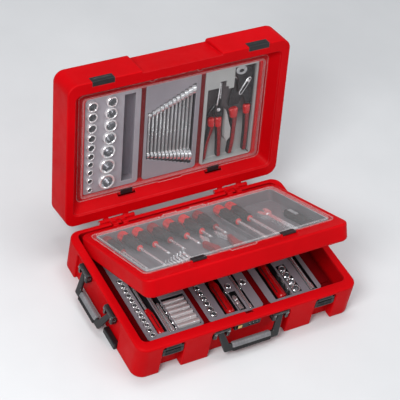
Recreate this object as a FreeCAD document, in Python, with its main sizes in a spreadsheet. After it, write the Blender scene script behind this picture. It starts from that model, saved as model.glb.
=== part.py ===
import FreeCAD, Part
import Sketcher
import math
import os
import re
from FreeCAD import Vector, Placement, Rotation

# Socket wrench set in a three-level carrying case.
# Frame: +X right, +Y to the rear (hinge side), +Z up; the origin is the centre
# of the flat underside.  Lengths in millimetres, angles in degrees.
# Everything that belongs to the middle tray and to the lid is drawn with the
# case shut and then swung open about the rear hinge line.

doc = FreeCAD.newDocument("socket_wrench_set_in_case")
dims = doc.addObject("Spreadsheet::Sheet", "dims")

TABLE = [
    ("case_w", 600), ("case_d", 398), ("base_h", 96), ("lid_h", 88),
    ("plan_r", 28), ("edge_r", 5), ("foot_r", 6), ("crown_r", 13),
    ("skin", 5), ("part_gap", 0.6),
    ("open_w", 558), ("open_front", -171.5), ("open_rear", 187), ("open_r", 14),
    ("ledge_z", 34), ("sheet_t", 2.5),
    ("hinge_y", 205), ("hinge_z", 93), ("knuckle_r", 5.4), ("pin_r", 2.5),
    ("pin_bore", 2.56), ("knuckle_w", 13), ("knuckle_step", 13.7), ("hinge_x", 162),
    ("mid_open", 27.25), ("lid_open", 100.9),
    ("tray_w", 150), ("tray_l", 273), ("tray_step", 163.5), ("tray_cy", 4), ("shift_left", 4), ("shift_middle", 6), ("shift_right", 11),
    ("well_w", 146), ("well_l", 269), ("base_floor", 14),
    ("latch_x", 209), ("latch_w", 58), ("latch_depth", 21.5), ("latch_top", 87),
    ("grip_zone", 107), ("grip_depth", 16), ("grip_top", 86.5),
    ("side_depth", 8), ("side_y", 18), ("side_half", 118),
    ("lid_rim", 96.6), ("dish_w", 559.6), ("dish_d", 341.6), ("dish_cy", 1),
    ("dish_deep", 30), ("dish_slope", 0.577), ("dish_r", 18),
    ("shelf_z", 126.6), ("deck_z", 133.1), ("lid_floor", 168.1), ("mouth_z", 124.5),
    ("mid_w", 550), ("mid_front", -167), ("mid_rear", 184), ("mid_z", 40), ("mid_top", 86),
    ("mid_r", 24), ("pocket_w", 500), ("pocket_front", -121), ("pocket_rear", 152),
    ("pocket_floor", 43), ("insert_top", 56),
    ("cover_w", 516), ("cover_t", 2.5), ("mid_cover_d", 287), ("mid_cover_y", 15.8),
    ("lid_cover_d", 300), ("lid_cover_y", 1),
    ("bail_t", 9), ("bail_len", 58), ("bail_out", 22), ("bail_y", -192), ("bail_z", 73),
    ("side_bail_x", -301), ("side_bail_y", 18), ("side_bail_z", 72),
    ("wheel_r", 5.2), ("wheel_w", 6.5),
]
for row, (alias, value) in enumerate(TABLE):
    dims.set("A%d" % (row + 1), alias.replace("_", " "))
    dims.set("B%d" % (row + 1), str(value))
    dims.setAlias("B%d" % (row + 1), alias)
doc.recompute()


def q(alias):
    return float(dims.get(alias))


WORD = re.compile(r"[a-z][a-z_0-9]*")


def ex(value):
    return WORD.sub(lambda m: "dims." + m.group(0), str(value))


def move(obj, x, y, z):
    for axis, value in zip("xyz", (x, y, z)):
        obj.setExpression("Placement.Base." + axis, ex(value))


def box(name, x0, x1, y0, y1, z0, z1):
    o = doc.addObject("Part::Box", name)
    for prop, a, b in (("Length", x0, x1), ("Width", y0, y1), ("Height", z0, z1)):
        o.setExpression(prop, ex("(%s) - (%s)" % (b, a)))
    move(o, x0, y0, z0)
    return o


TURN = {"z": Rotation(), "x": Rotation(Vector(0, 1, 0), 90), "y": Rotation(Vector(1, 0, 0), -90)}


def cyl(name, axis, r, length, x, y, z):
    o = doc.addObject("Part::Cylinder", name)
    o.setExpression("Radius", ex(r))
    o.setExpression("Height", ex(length))
    o.Placement = Placement(Vector(), TURN[axis])
    move(o, x, y, z)
    return o


def cone(name, axis, r1, r2, length, x, y, z):
    o = doc.addObject("Part::Cone", name)
    o.setExpression("Radius1", ex(r1))
    o.setExpression("Radius2", ex(r2))
    o.setExpression("Height", ex(length))
    o.Placement = Placement(Vector(), TURN[axis])
    move(o, x, y, z)
    return o


def hexa(name, axis, r, length, x, y, z):
    o = doc.addObject("Part::Prism", name)
    o.Polygon = 6
    o.setExpression("Circumradius", ex(r))
    o.setExpression("Height", ex(length))
    o.Placement = Placement(Vector(), TURN[axis])
    move(o, x, y, z)
    return o


def ball(name, r, x, y, z):
    o = doc.addObject("Part::Sphere", name)
    o.setExpression("Radius", ex(r))
    move(o, x, y, z)
    return o


def plane(body, role):
    return [f for f in body.Origin.OriginFeatures if f.Role == role][0]


def edge_names(shape, kind):
    lo, hi = shape.BoundBox.ZMin, shape.BoundBox.ZMax
    out = []
    for i, e in enumerate(shape.Edges):
        zs = [v.Point.z for v in e.Vertexes]
        if kind == "side" and max(zs) - min(zs) > 1e-3:
            out.append("Edge%d" % (i + 1))
        if kind == "top" and min(zs) > hi - 1e-3:
            out.append("Edge%d" % (i + 1))
        if kind == "bottom" and max(zs) < lo + 1e-3:
            out.append("Edge%d" % (i + 1))
    return out


def rbox(name, w, d, h, cx, cy, z0, side=None, top=None, bottom=None, taper=None):
    """Rounded block: a dimensioned rectangle, padded, with rounded edges."""
    b = doc.addObject("PartDesign::Body", name)
    sk = b.newObject("Sketcher::SketchObject", name + "_plan")
    sk.AttachmentSupport = (plane(b, "XY_Plane"), [""])
    sk.MapMode = "FlatFace"
    p = [Vector(-50, -50, 0), Vector(50, -50, 0), Vector(50, 50, 0), Vector(-50, 50, 0)]
    for i in range(4):
        sk.addGeometry(Part.LineSegment(p[i], p[(i + 1) % 4]), False)
    for i in range(4):
        sk.addConstraint(Sketcher.Constraint("Coincident", i, 2, (i + 1) % 4, 1))
    for i, kind in enumerate(("Horizontal", "Vertical", "Horizontal", "Vertical")):
        sk.addConstraint(Sketcher.Constraint(kind, i))
    sk.addConstraint(Sketcher.Constraint("Symmetric", 0, 1, 1, 2, -1, 1))
    n = sk.addConstraint(Sketcher.Constraint("DistanceX", 0, 1, 0, 2, 100))
    sk.renameConstraint(n, "across")
    n = sk.addConstraint(Sketcher.Constraint("DistanceY", 1, 1, 1, 2, 100))
    sk.renameConstraint(n, "deep")
    sk.setExpression("Constraints.across", ex(w))
    sk.setExpression("Constraints.deep", ex(d))
    pad = b.newObject("PartDesign::Pad", name + "_pad")
    pad.Profile = sk
    pad.setExpression("Length", ex(h))
    if taper is not None:
        pad.setExpression("TaperAngle", ex(taper))
    doc.recompute()
    last = pad
    for radius, kind in ((side, "side"), (top, "top"), (bottom, "bottom")):
        if radius is None:
            continue
        f = b.newObject("PartDesign::Fillet", "%s_%s" % (name, kind))
        f.Base = (last, edge_names(last.Shape, kind))
        f.setExpression("Radius", ex(radius))
        doc.recompute()
        last = f
    move(b, cx, cy, z0)
    return b


def outline(name, points, face, thick, start):
    """Flat profile on an origin plane, padded so that it begins at 'start'."""
    b = doc.addObject("PartDesign::Body", name)
    sk = b.newObject("Sketcher::SketchObject", name + "_profile")
    sk.AttachmentSupport = (plane(b, face + "_Plane"), [""])
    sk.MapMode = "FlatFace"
    n = len(points)
    v = [Vector(x, y, 0) for x, y in points]
    for i in range(n):
        sk.addGeometry(Part.LineSegment(v[i], v[(i + 1) % n]), False)
    for i in range(n):
        sk.addConstraint(Sketcher.Constraint("Coincident", i, 2, (i + 1) % n, 1))
    pad = b.newObject("PartDesign::Pad", name + "_pad")
    pad.Profile = sk
    pad.setExpression("Length", ex(thick))
    doc.recompute()
    bb = b.Shape.BoundBox
    axis = {"XY": "z", "XZ": "y", "YZ": "x"}[face]
    low = {"x": bb.XMin, "y": bb.YMin, "z": bb.ZMin}[axis]
    b.setExpression("Placement.Base." + axis, ex("(%s) - (%r)" % (start, round(low, 6))))
    return b


def fuse(name, objs):
    if len(objs) == 1:
        return objs[0]
    o = doc.addObject("Part::MultiFuse", name)
    o.Shapes = objs
    return o


def cut(name, base, tools):
    o = doc.addObject("Part::Cut", name)
    o.Base = base
    o.Tool = fuse(name + "_tools", tools)
    return o


def carve(name, base, tools):
    """Take the tools away one after the other."""
    for i, t in enumerate(tools):
        o = doc.addObject("Part::Cut", name if i == len(tools) - 1 else "%s_step_%d" % (name, i))
        o.Base = base
        o.Tool = t
        base = o
    return base


def group(name, objs):
    o = doc.addObject("Part::Compound", name)
    o.Links = objs
    return o


def usable(o):
    return "Invalid" not in o.State and "Error" not in o.State and not o.Shape.isNull() and o.Shape.isValid()


def soften(name, base, radius, pick):
    """Round the picked edges; an edge set that cannot be rounded stays sharp."""
    doc.recompute()
    edges = [(i + 1, radius, radius) for i, e in enumerate(base.Shape.Edges) if pick(e)]
    if not edges:
        return base
    o = doc.addObject("Part::Fillet", name)
    o.Base = base
    o.Edges = edges
    doc.recompute()
    if not usable(o):
        print("left sharp:", name)
        doc.removeObject(o.Name)
        return base
    return o


NODES = {}


def node(name, obj, swing=None, at=None):
    """Register a piece; 'swing' turns it about the hinge line, 'at' places it."""
    if swing is not None or at is not None:
        obj = group(name + "_placed", [obj])
        if swing is not None:
            c = Vector(0, q("hinge_y"), q("hinge_z"))
            obj.Placement = Placement(Vector(), Rotation(Vector(-1, 0, 0), q(swing)), c)
        else:
            obj.Placement = at
    obj.Label = name
    NODES[name] = obj
    return obj


def flat_y(e, y):
    return all(abs(v.Point.y - y) < 1e-3 for v in e.Vertexes)


def flat_z(e, z):
    return all(abs(v.Point.z - z) < 1e-3 for v in e.Vertexes)


# ------------------------------------------------------------------ hinge line
# Seven knuckles per hinge: case, lid, tray, case, tray, lid, case.
ORDER = ["case", "lid", "tray", "case", "tray", "lid", "case"]


def stations(owner):
    out = []
    for sign in (-1, 1):
        x0 = sign * q("hinge_x") - (6 * q("knuckle_step") + q("knuckle_w")) / 2
        for i, who in enumerate(ORDER):
            if who == owner:
                out.append(round(x0 + i * q("knuckle_step"), 4))
    return out


def knuckles(owner, y0, y1, z0, z1):
    parts = []
    for i, x in enumerate(stations(owner)):
        n = "%s_knuckle_%d" % (owner, i)
        parts.append(cyl(n, "x", "knuckle_r", "knuckle_w", x, "hinge_y", "hinge_z"))
        parts.append(box(n + "_web", x, "%r + knuckle_w" % x, y0, y1, z0, z1))
    return parts


def hinge_bore(name):
    return cyl(name, "x", "pin_bore", 480, -240, "hinge_y", "hinge_z")


# ------------------------------------------------------------------ base shell
outer = rbox("base_block", "case_w", "case_d", "base_h", 0, 0, 0, "plan_r", "edge_r")
recess = []
keep = []
for side, s in (("left", -1), ("right", 1)):
    x0, x1 = ("%d*latch_x - latch_w/2" % s, "%d*latch_x + latch_w/2" % s)
    r = box("latch_recess_" + side, x0, x1, "-case_d/2 - 2", "-case_d/2 + latch_depth", -2, "latch_top")
    recess.append(soften("latch_recess_soft_" + side, r, 7.0,
                         lambda e: flat_z(e, q("latch_top")) and abs(e.Vertexes[0].Point.x - e.Vertexes[-1].Point.x) < 1e-3))
    keep.append(box("latch_keep_" + side, x0 + " - 3", x1 + " + 3", "-case_d/2 - 2", "-case_d/2 + latch_depth + 3", -2, "latch_top + 6"))
r = box("grip_recess", "-grip_zone", "grip_zone", "-case_d/2 - 2", "-case_d/2 + grip_depth", -2, "grip_top")
recess.append(soften("grip_recess_soft", r, 9.0,
                     lambda e: flat_z(e, q("grip_top")) and abs(e.Vertexes[0].Point.x - e.Vertexes[-1].Point.x) < 1e-3))
keep.append(box("grip_keep", "-grip_zone - 3", "grip_zone + 3", "-case_d/2 - 2", "-case_d/2 + grip_depth + 3", -2, "grip_top + 6"))
for side, s in (("left", -1), ("right", 1)):
    a, b2 = ("-case_w/2 - 2", "-case_w/2 + side_depth") if s < 0 else ("case_w/2 - side_depth", "case_w/2 + 2")
    r = box("side_recess_" + side, a, b2, "side_y - side_half", "side_y + side_half", -2, "grip_top")
    recess.append(soften("side_recess_soft_" + side, r, 9.0,
                         lambda e: flat_z(e, q("grip_top")) and abs(e.Vertexes[0].Point.y - e.Vertexes[-1].Point.y) < 1e-3))
    a2, b3 = (a, b2 + " + 4") if s < 0 else (a + " - 4", b2)
    keep.append(box("side_keep_" + side, a2, b3, "side_y - side_half - 4", "side_y + side_half + 4", -2, "grip_top + 6"))
carved = carve("base_carved", outer, recess)


def mouth(e):
    y, w = -q("case_d") / 2, q("case_w") / 2
    if flat_y(e, y):
        zs = [v.Point.z for v in e.Vertexes]
        return max(zs) < q("latch_top") + 0.01 and max(zs) > 1
    xs = [v.Point.x for v in e.Vertexes]
    if all(abs(abs(x) - w) < 1e-3 for x in xs):
        zs = [v.Point.z for v in e.Vertexes]
        ys = [v.Point.y for v in e.Vertexes]
        return max(zs) < q("latch_top") + 0.01 and max(zs) > 1 and max(abs(t) for t in ys) < q("case_d") / 2 - q("plan_r") - 1
    return False


carved = soften("base_carved_soft", carved, 2.8, mouth)
carved = soften("base_foot_soft", carved, 2.0, lambda e: flat_z(e, 0.0))
hollow = cut("base_hollow", rbox("base_hollow_block", "case_w - 2*skin", "case_d - 2*skin", "base_h - 2*skin", 0, 0, "skin", "plan_r - skin"), keep)
opening = rbox("base_opening", "open_w", "open_rear - open_front", "base_h", 0, "(open_rear + open_front)/2", "ledge_z", "open_r")
notches = []
for i, x in enumerate(stations("tray")):
    notches.append(box("tray_notch_%d" % i, "%r - 2" % x, "%r + knuckle_w + 2" % x, "open_rear - 6", "case_d/2 + 2", 79, "base_h + 2"))
shell = carve("base_shell_body", carved, [hollow, opening] + notches)
shell = fuse("base_shell_hinged", [shell] + knuckles("case", "case_d/2 - 3", "hinge_y - 1", 78, 92))
tongue_slot = box("tongue_slot", -10, 12, "open_front - 9", "open_front + 1", 84, "base_h + 1")
shell = cut("base_shell", shell, [hinge_bore("base_bore"), tongue_slot])
shell = soften("base_shell_soft", shell, 2.0,
               lambda e: flat_z(e, q("base_h")) and all(abs(v.Point.x) < 281 and -173 < v.Point.y < 186 for v in e.Vertexes)
               and not (abs(e.Vertexes[0].Point.x) < 13 and e.Vertexes[0].Point.y < -160))
node("base_shell", shell)

# inner liner: side walls and the ledge that carries the three trays
liner = rbox("base_liner_block", "open_w + 2*sheet_t", "open_rear - open_front + 2*sheet_t", "base_h - skin - ledge_z + 4", 0,
             "(open_rear + open_front)/2", "ledge_z - 4", "open_r + sheet_t")
wells = []
for i, aside in ((-1, "shift_left"), (0, "shift_middle"), (1, "shift_right")):
    wells.append(box("base_well_%d" % (i + 1), "%d*tray_step + %s - well_w/2 - 0.5" % (i, aside), "%d*tray_step + %s + well_w/2 + 0.5" % (i, aside),
                     "tray_cy - well_l/2 - 0.5", "tray_cy + well_l/2 + 0.5", 20, 60))
opening2 = rbox("base_liner_opening", "open_w", "open_rear - open_front", "base_h", 0, "(open_rear + open_front)/2", "ledge_z", "open_r")
notches2 = [box("tray_notch_b%d" % i, "%r - 2" % x, "%r + knuckle_w + 2" % x, "open_rear - 6", "case_d/2 + 2", 79, "base_h + 2")
            for i, x in enumerate(stations("tray"))]
finger = box("finger_pocket", 254, 276, -140, -118, "ledge_z - 3", 60)
tongue_slot2 = box("tongue_slot_b", -10, 12, "open_front - 9", "open_front + 1", 84, "base_h + 1")
node("base_liner", cut("base_liner", liner, [opening2, finger, tongue_slot2] + wells + notches2))


# ------------------------------------------------------------------ trays
def tray(name, index, deck, floor, sign, holes, extra=(), soft=True):
    """Thin pressed tray: a deck with openings and a hanging well.
    'deck' is the deck's under face; sign +1 hangs down, -1 hangs up."""
    cx = "%d*tray_step" % index
    if sign > 0:
        d0, w0, w1 = deck, floor + " - sheet_t", deck + " + 0.5"
        i0, i1 = floor, deck
    else:
        d0, w0, w1 = deck, deck + " + sheet_t - 0.5", floor + " + sheet_t"
        i0, i1 = deck + " + sheet_t", floor
    plate = rbox(name + "_deck", "tray_w", "tray_l", "sheet_t", cx, "tray_cy", d0, 9)
    well = rbox(name + "_well", "well_w", "well_l", "(%s) - (%s)" % (w1, w0), cx, "tray_cy", w0, 7)
    inner = rbox(name + "_inside", "well_w - 2*sheet_t", "well_l - 2*sheet_t", "(%s) - (%s)" % (i1, i0), cx, "tray_cy", i0, 5)
    body = cut(name + "_pan", fuse(name + "_solid", [plate, well]), [inner] + holes)
    if extra:
        body = fuse(name + "_ribbed", [body] + list(extra))
    return body


def slot(name, x0, x1, y0, y1, z0=20, z1=60):
    return box(name, x0, x1, y0, y1, z0, z1)


def spots(a, b, n):
    return [a + (b - a) * i / (n - 1.0) for i in range(n)]


def upright_socket(name, r, length, x, y, z, down=False):
    """Socket standing on z; hexagon mouth on top, or below when 'down'."""
    wall = max(1.6, 0.19 * r)
    body = cyl(name + "_wall", "z", r, length, x, y, z)
    deep = 0.55 * length
    neck = 0.36 * r
    if down:
        mouth_z, drive_z = z - 1, z + deep - 1.2
    else:
        mouth_z, drive_z = z + length - deep + 1, z - 1
    six = hexa(name + "_hex", "z", r - wall, deep, x, y, round(mouth_z, 4))
    drive = box(name + "_drive", x - neck, x + neck, y - neck, y + neck, round(drive_z, 4), round(drive_z + length - deep + 2.4, 4))
    return cut(name, body, [six, drive])


# the three base trays and all they hold sit a little to the right of centre
LEFT, MIDDLE, RIGHT = [Placement(Vector(q(a), 0, 0), Rotation()) for a in ("shift_left", "shift_middle", "shift_right")]
# left base tray: small sockets, spinner, extension bars, deep sockets
small_y = spots(58, -119, 12)
small_r = spots(7.3, 6.9, 12)
sockets = [upright_socket("small_socket_%d" % i, round(r, 3), 25, -222, round(y, 3), q("base_floor")) for i, (y, r) in enumerate(zip(small_y, small_r))]
node("base_small_sockets", group("base_small_sockets", sockets), at=LEFT)
holes = [cyl("small_hole_%d" % i, "z", round(r + 1.3, 3), 40, -222, round(y, 3), 20) for i, (y, r) in enumerate(zip(small_y, small_r))]
holes.append(slot("spinner_slot", -209, -183, -120, 44))
holes.append(slot("bar_slot_a", -180.5, -158, -124, 96))
holes.append(slot("deep_slot", -155.5, -93.4, -126, -26))
holes.append(slot("deep_slot_rear", -155.5, -93.4, 10, 126))
deep_y = [-34.5, -48.5, -63, -78.5, -95, -112.5]
deep_r = [6.2, 6.6, 7.2, 7.9, 8.4, 8.8]
deep = []
for i, (y, r) in enumerate(zip(deep_y, deep_r)):
    zc = round(20.2 + r, 3)
    body = cyl("deep_socket_%d_wall" % i, "x", r, 60, -154, y, zc)
    six = hexa("deep_socket_%d_hex" % i, "x", round(r * 0.8, 3), 30, -155, y, zc)
    sq = box("deep_socket_%d_drive" % i, -110, -90, y - 2.2, y + 2.2, round(zc - 2.2, 3), round(zc + 2.2, 3))
    deep.append(cut("deep_socket_%d" % i, body, [six, sq]))
node("base_deep_sockets", group("base_deep_sockets", deep), at=LEFT)
shelf = [box("deep_shelf_a", -150, -146, -124, -28, "base_floor - 0.5", 20.2), box("deep_shelf_b", -104, -100, -124, -28, "base_floor - 0.5", 20.2)]
bar_rest = [box("bar_rest_a", -179, -159, 60, 66, "base_floor - 0.5", 24), box("bar_rest_b", -179, -159, -80, -74, "base_floor - 0.5", 24)]
node("base_tray_left", tray("base_tray_left", -1, "ledge_z", "base_floor", 1, holes, shelf + bar_rest), at=LEFT)
grip = fuse("spinner_grip_body", [cyl("spinner_grip_core", "y", 11, 62, -196, -112, 25), cone("spinner_grip_nose", "y", 11, 7, 12, -196, -50, 25),
                                  ball("spinner_grip_cap", 10.6, -196, -110, 25)])
flutes = [cyl("spinner_flute_%d" % i, "y", 2.2, 56, round(-196 + 12.2 * math.cos(a), 3), -108, round(25 + 12.2 * math.sin(a), 3))
          for i, a in enumerate([math.radians(30 + 60 * k) for k in range(6)])]
node("spinner_grip", cut("spinner_grip", grip, flutes), at=LEFT)
node("spinner_shaft", fuse("spinner_shaft", [cyl("spinner_rod", "y", 3.6, 70, -196, -38, 25), box("spinner_tip", -199.2, -192.8, 32, 40, 21.8, 28.2)]), at=LEFT)
# extension bars of the left and the right tray
bars = []
for i, (x, y0, length, r) in enumerate([(-174.5, -117, 150, 4.6), (-164.5, -117, 78, 4.4)]):
    zc = round(24 + r, 3)
    rod = cyl("bar_%d_rod" % i, "y", r, length, x, y0, zc)
    head = cyl("bar_%d_head" % i, "y", r + 0.4, 16, x, y0 - 4, zc)
    tip = box("bar_%d_tip" % i, x - 3, x + 3, y0 + length, y0 + length + 9, zc - 3, zc + 3)
    bars.append(fuse("bar_%d" % i, [rod, head, tip]))

# middle base tray
mid_sock_y = spots(-26, -113, 6)
mid_sock_r = [7.6, 7.7, 7.8, 7.9, 8.0, 8.0]
row2_r = [8.2, 8.6, 9.0, 9.4, 9.9, 10.4]
row2_y = spots(0, 112, 6)
sockets = [upright_socket("medium_socket_%d" % i, r, 25, -56, round(y, 3), q("base_floor")) for i, (y, r) in enumerate(zip(mid_sock_y, mid_sock_r))]
sockets += [upright_socket("medium_socket_b%d" % i, r, 25, -55, round(y, 3), q("base_floor")) for i, (y, r) in enumerate(zip(row2_y, row2_r))]
node("base_medium_sockets", group("base_medium_sockets", sockets), at=MIDDLE)
holes = [cyl("medium_hole_%d" % i, "z", round(r + 1.3, 3), 40, -56, round(y, 3), 20) for i, (y, r) in enumerate(zip(mid_sock_y, mid_sock_r))]
holes += [cyl("medium_hole_b%d" % i, "z", round(r + 1.4, 3), 40, -55, round(y, 3), 20) for i, (y, r) in enumerate(zip(row2_y, row2_r))]
holes.append(slot("ratchet_small_slot", -31, 7.5, -124, 92))
holes.append(slot("joint_slot", 9.5, 30, -126, -64))
holes.append(slot("bar_slot_b", 35.5, 50.2, -129, 60))
knob_x, knob_y = 60.4, -48
holes.append(cyl("knob_hole", "z", 9.6, 40, knob_x, knob_y, 20))
holes.append(cyl("plain_hole", "z", 9.7, 40, 20, -47, 20))
bar_rest = [box("bar_rest_c", 36, 51, 20, 26, "base_floor - 0.5", 24), box("bar_rest_d", 36, 51, -100, -94, "base_floor - 0.5", 24),
            box("joint_rest", 12, 28, -98, -92, "base_floor - 0.5", 23.5), box("joint_rest_b", 12, 28, -76, -72, "base_floor - 0.5", 23.5),
            box("joint_rest_c", 12, 28, -120, -116, "base_floor - 0.5", 23.5)]
node("base_tray_middle", tray("base_tray_middle", 0, "ledge_z", "base_floor", 1, holes, bar_rest), at=MIDDLE)


def ratchet(name, x, y_end, grip_len, grip_r, rod_r, rod_len, head_r, zc):
    """Ratchet lying along Y: grip at the front, round head at the rear."""
    g = fuse(name + "_grip_body", [cyl(name + "_grip_core", "y", grip_r, grip_len, x, y_end, zc),
                                   cone(name + "_grip_nose", "y", grip_r, rod_r + 1.2, 10, x, y_end + grip_len, zc),
                                   ball(name + "_grip_cap", round(grip_r * 0.97, 3), x, y_end + 1.5, zc)])
    g = cut(name + "_grip", g, [cyl(name + "_grip_socket", "y", rod_r, grip_len + 20, x, y_end + 20, zc)])
    y_head = y_end + grip_len + rod_len + head_r
    h = fuse(name + "_steel", [cyl(name + "_rod", "y", rod_r, y_head - head_r * 0.5 - (y_end + 20.2), x, y_end + 20.2, zc),
                               cyl(name + "_head", "z", head_r, 20, x, y_head, zc - 10),
                               cyl(name + "_cap", "z", head_r * 0.62, 2.2, x, y_head, zc + 10),
                               box(name + "_square", x - 4.6, x + 4.6, y_head - 4.6, y_head + 4.6, zc - 11.5 + 0.1, zc - 9)])
    return g, h


g, h = ratchet("ratchet_small", -8, -112, 92, 11.2, 4.6, 70, 12.6, 26.0)
node("ratchet_small_grip", g, at=MIDDLE)
node("ratchet_small_head", h, at=MIDDLE)
for i, (x, y0, length, r) in enumerate([(43.5, -122, 150, 4.8)]):
    rod = cyl("bar_m%d_rod" % i, "y", r, length, x, y0, 28.8)
    head = cyl("bar_m%d_head" % i, "y", r + 1.2, 16, x, y0 - 4, 28.8)
    tip = box("bar_m%d_tip" % i, x - 3.4, x + 3.4, y0 + length, y0 + length + 9, 25.6, 32.2)
    bars.append(fuse("bar_m%d" % i, [rod, head, tip]))
extras = [upright_socket("plain_socket", 8.4, 25, 20, -47, q("base_floor")), upright_socket("knob_socket", 9.2, 25, knob_x, knob_y, q("base_floor"))]
extras.append(fuse("universal_joint", [cyl("universal_a", "y", 6.6, 17, 20, -121, 30.1), ball("universal_ball", 6.4, 20, -97, 29.9),
                                       cyl("universal_b", "y", 6.6, 15, 20, -91, 30.1), box("universal_fork", 15.6, 24.4, -106, -88, 27, 33)]))

# right base tray
holes = [slot("ratchet_large_slot", 107, 156, -126, 122), slot("chrome_slot", 160, 186, -124, -30), slot("bar_slot_c", 205, 228, -130, 110)]
right_y = [-44, -66, -89, -112.2]
right_r = [9.6, 10.2, 10.8, 11.2]
right_sockets = []
for i, (y, r) in enumerate(zip(right_y, right_r)):
    right_sockets.append(upright_socket("right_socket_%d" % i, r, 25, 173, y, q("base_floor")))
back_y = spots(10, 120, 5)
for i, y in enumerate(back_y):
    right_sockets.append(upright_socket("right_socket_b%d" % i, 11.4, 25, 174, round(y, 3), q("base_floor")))
    holes.append(cyl("right_hole_b%d" % i, "z", 12.8, 40, 174, round(y, 3), 20))
extras += right_sockets
bar_rest = [box("bar_rest_e", 207, 226, 60, 66, "base_floor - 0.5", 22), box("bar_rest_f", 207, 226, -90, -84, "base_floor - 0.5", 22)]
node("base_tray_right", tray("base_tray_right", 1, "ledge_z", "base_floor", 1, holes, bar_rest), at=RIGHT)
g, h = ratchet("ratchet_large", 133, -113, 104, 12.0, 5.8, 84, 15.4, 26.6)
node("ratchet_large_grip", g, at=RIGHT)
node("ratchet_large_head", h, at=RIGHT)
for i, (x, y0, length, r) in enumerate([(216.5, -122, 210, 6.2)]):
    rod = cyl("bar_r%d_rod" % i, "y", r, length, x, y0, 28.2)
    head = cyl("bar_r%d_head" % i, "y", r + 1.8, 20, x, y0 - 4, 28.2)
    tip = box("bar_r%d_tip" % i, x - 4.4, x + 4.4, y0 + length, y0 + length + 11, 23.8, 32.6)
    bars.append(fuse("bar_r%d" % i, [rod, head, tip]))
loose = []
for name, at, objs in (("left_loose", LEFT, bars[:2]), ("middle_loose", MIDDLE, bars[2:3] + extras[:3]), ("right_loose", RIGHT, bars[3:] + extras[3:])):
    g = group(name, objs)
    g.Placement = at
    loose.append(g)
node("base_bars_and_adaptors", group("base_bars_and_adaptors", loose))

# ------------------------------------------------------------------ hinge pins
pins = []
for side, s in (("left", -1), ("right", 1)):
    x0 = round(s * q("hinge_x") - (6 * q("knuckle_step") + q("knuckle_w")) / 2 - 0.5, 4)
    pins.append(cyl("hinge_pin_" + side, "x", "pin_r", round(6 * q("knuckle_step") + q("knuckle_w") + 1, 4), x0, "hinge_y", "hinge_z"))
hinge_pin_list = pins

# ------------------------------------------------------------------ carrying handles
BAIL = {"front_handle": (92.0, 76.0, 74.0, 60.0), "side_handle": (78.0, 64.0, 62.0, 49.0)}


def bail(name):
    top_out, top_in, low_out, low_in = BAIL[name]
    low = -q("bail_len")
    u = outline(name + "_bow", [(-top_out, 4.0), (-top_in, 4.0), (-low_in, low + 19), (low_in, low + 19), (top_in, 4.0), (top_out, 4.0),
                                (low_out, low), (-low_out, low)], "XZ", "bail_t", "-bail_t/2")
    u = soften(name + "_bow_soft", u, 3.4, lambda e: True)
    stubs = []
    for s in (-1, 1):
        a = s * (top_out - 8) - (23 if s > 0 else 17)
        stubs.append(cyl("%s_stub_%d" % (name, s + 1), "x", 3.0, 40, a, 0, 0))
    frame = fuse(name + "_frame", [u] + stubs)
    sleeve = rbox(name + "_sleeve", round(2 * low_in - 14, 3), 14.5, 23, 0, 0, round(low - 2.2, 3), 4.5, 3, 3)
    core = box(name + "_sleeve_bore", -low_out, low_out, "-bail_t/2 - 0.1", "bail_t/2 + 0.1", round(low - 0.1, 3), round(low + 19.1, 3))
    return frame, cut(name + "_grip", sleeve, [core])


def brackets(name):
    top_out, top_in, low_out, low_in = BAIL[name]
    out = []
    mid = (top_out + top_in) / 2
    for s in (-1, 1):
        c = s * mid
        n = "%s_bracket_%d" % (name, s + 1)
        b = rbox(n + "_block", 45, 17.4, 25, c - 3 * s, 0.3, -13, 4, 2, 2)
        inner, wide = c - 16.5 * s, c + 11 * s
        fork = box(n + "_fork", min(inner, wide), max(inner, wide), -14, 6.2, -20, 7.0)
        bore = cyl(n + "_bore", "x", 3.06, 60, c - 30, 0, 0)
        out.append(cut(n, b, [fork, bore]))
    return group(name + "_brackets", out)


# the front pair stands 9 mm in front of the recess wall
front_at = Placement(Vector(0, q("bail_y"), q("bail_z")), Rotation())
front_tilt = Placement(Vector(0, q("bail_y"), q("bail_z")), Rotation(Vector(1, 0, 0), -q("bail_out")))
side_turn = Rotation(Vector(0, 0, 1), -90)
side_at = Placement(Vector(q("side_bail_x"), q("side_bail_y"), q("side_bail_z")), side_turn)
side_tilt = Placement(Vector(q("side_bail_x"), q("side_bail_y"), q("side_bail_z")), side_turn.multiply(Rotation(Vector(1, 0, 0), -q("bail_out"))))
for name, at, tilt in (("front_handle", front_at, front_tilt), ("side_handle", side_at, side_tilt)):
    frame, grip = bail(name)
    node(name + "_frame", frame, at=tilt)
    node(name + "_grip", grip, at=tilt)
    node(name + "_brackets", brackets(name), at=at)

# screw heads in the bracket cheeks, clear of the pivot
heads = []
for i, x in enumerate((-99.2, -63.0, 63.0, 99.2)):
    heads.append(cyl("front_screw_%d" % i, "y", 2.6, 1.4, x, -201.8, 78.5))
for i, y in enumerate((-68.2, -32.0, 68.0, 104.2)):
    heads.append(cyl("side_screw_%d" % i, "x", 2.4, 1.4, -310.8, y, 77.5))
node("bracket_screws", group("bracket_screws", heads))

# dark skid along the foot of the left wall
node("side_skid", rbox("side_skid", 15, 60, 15, "-case_w/2 + side_depth - 7.5", -70, 0, 3, 3))

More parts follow.
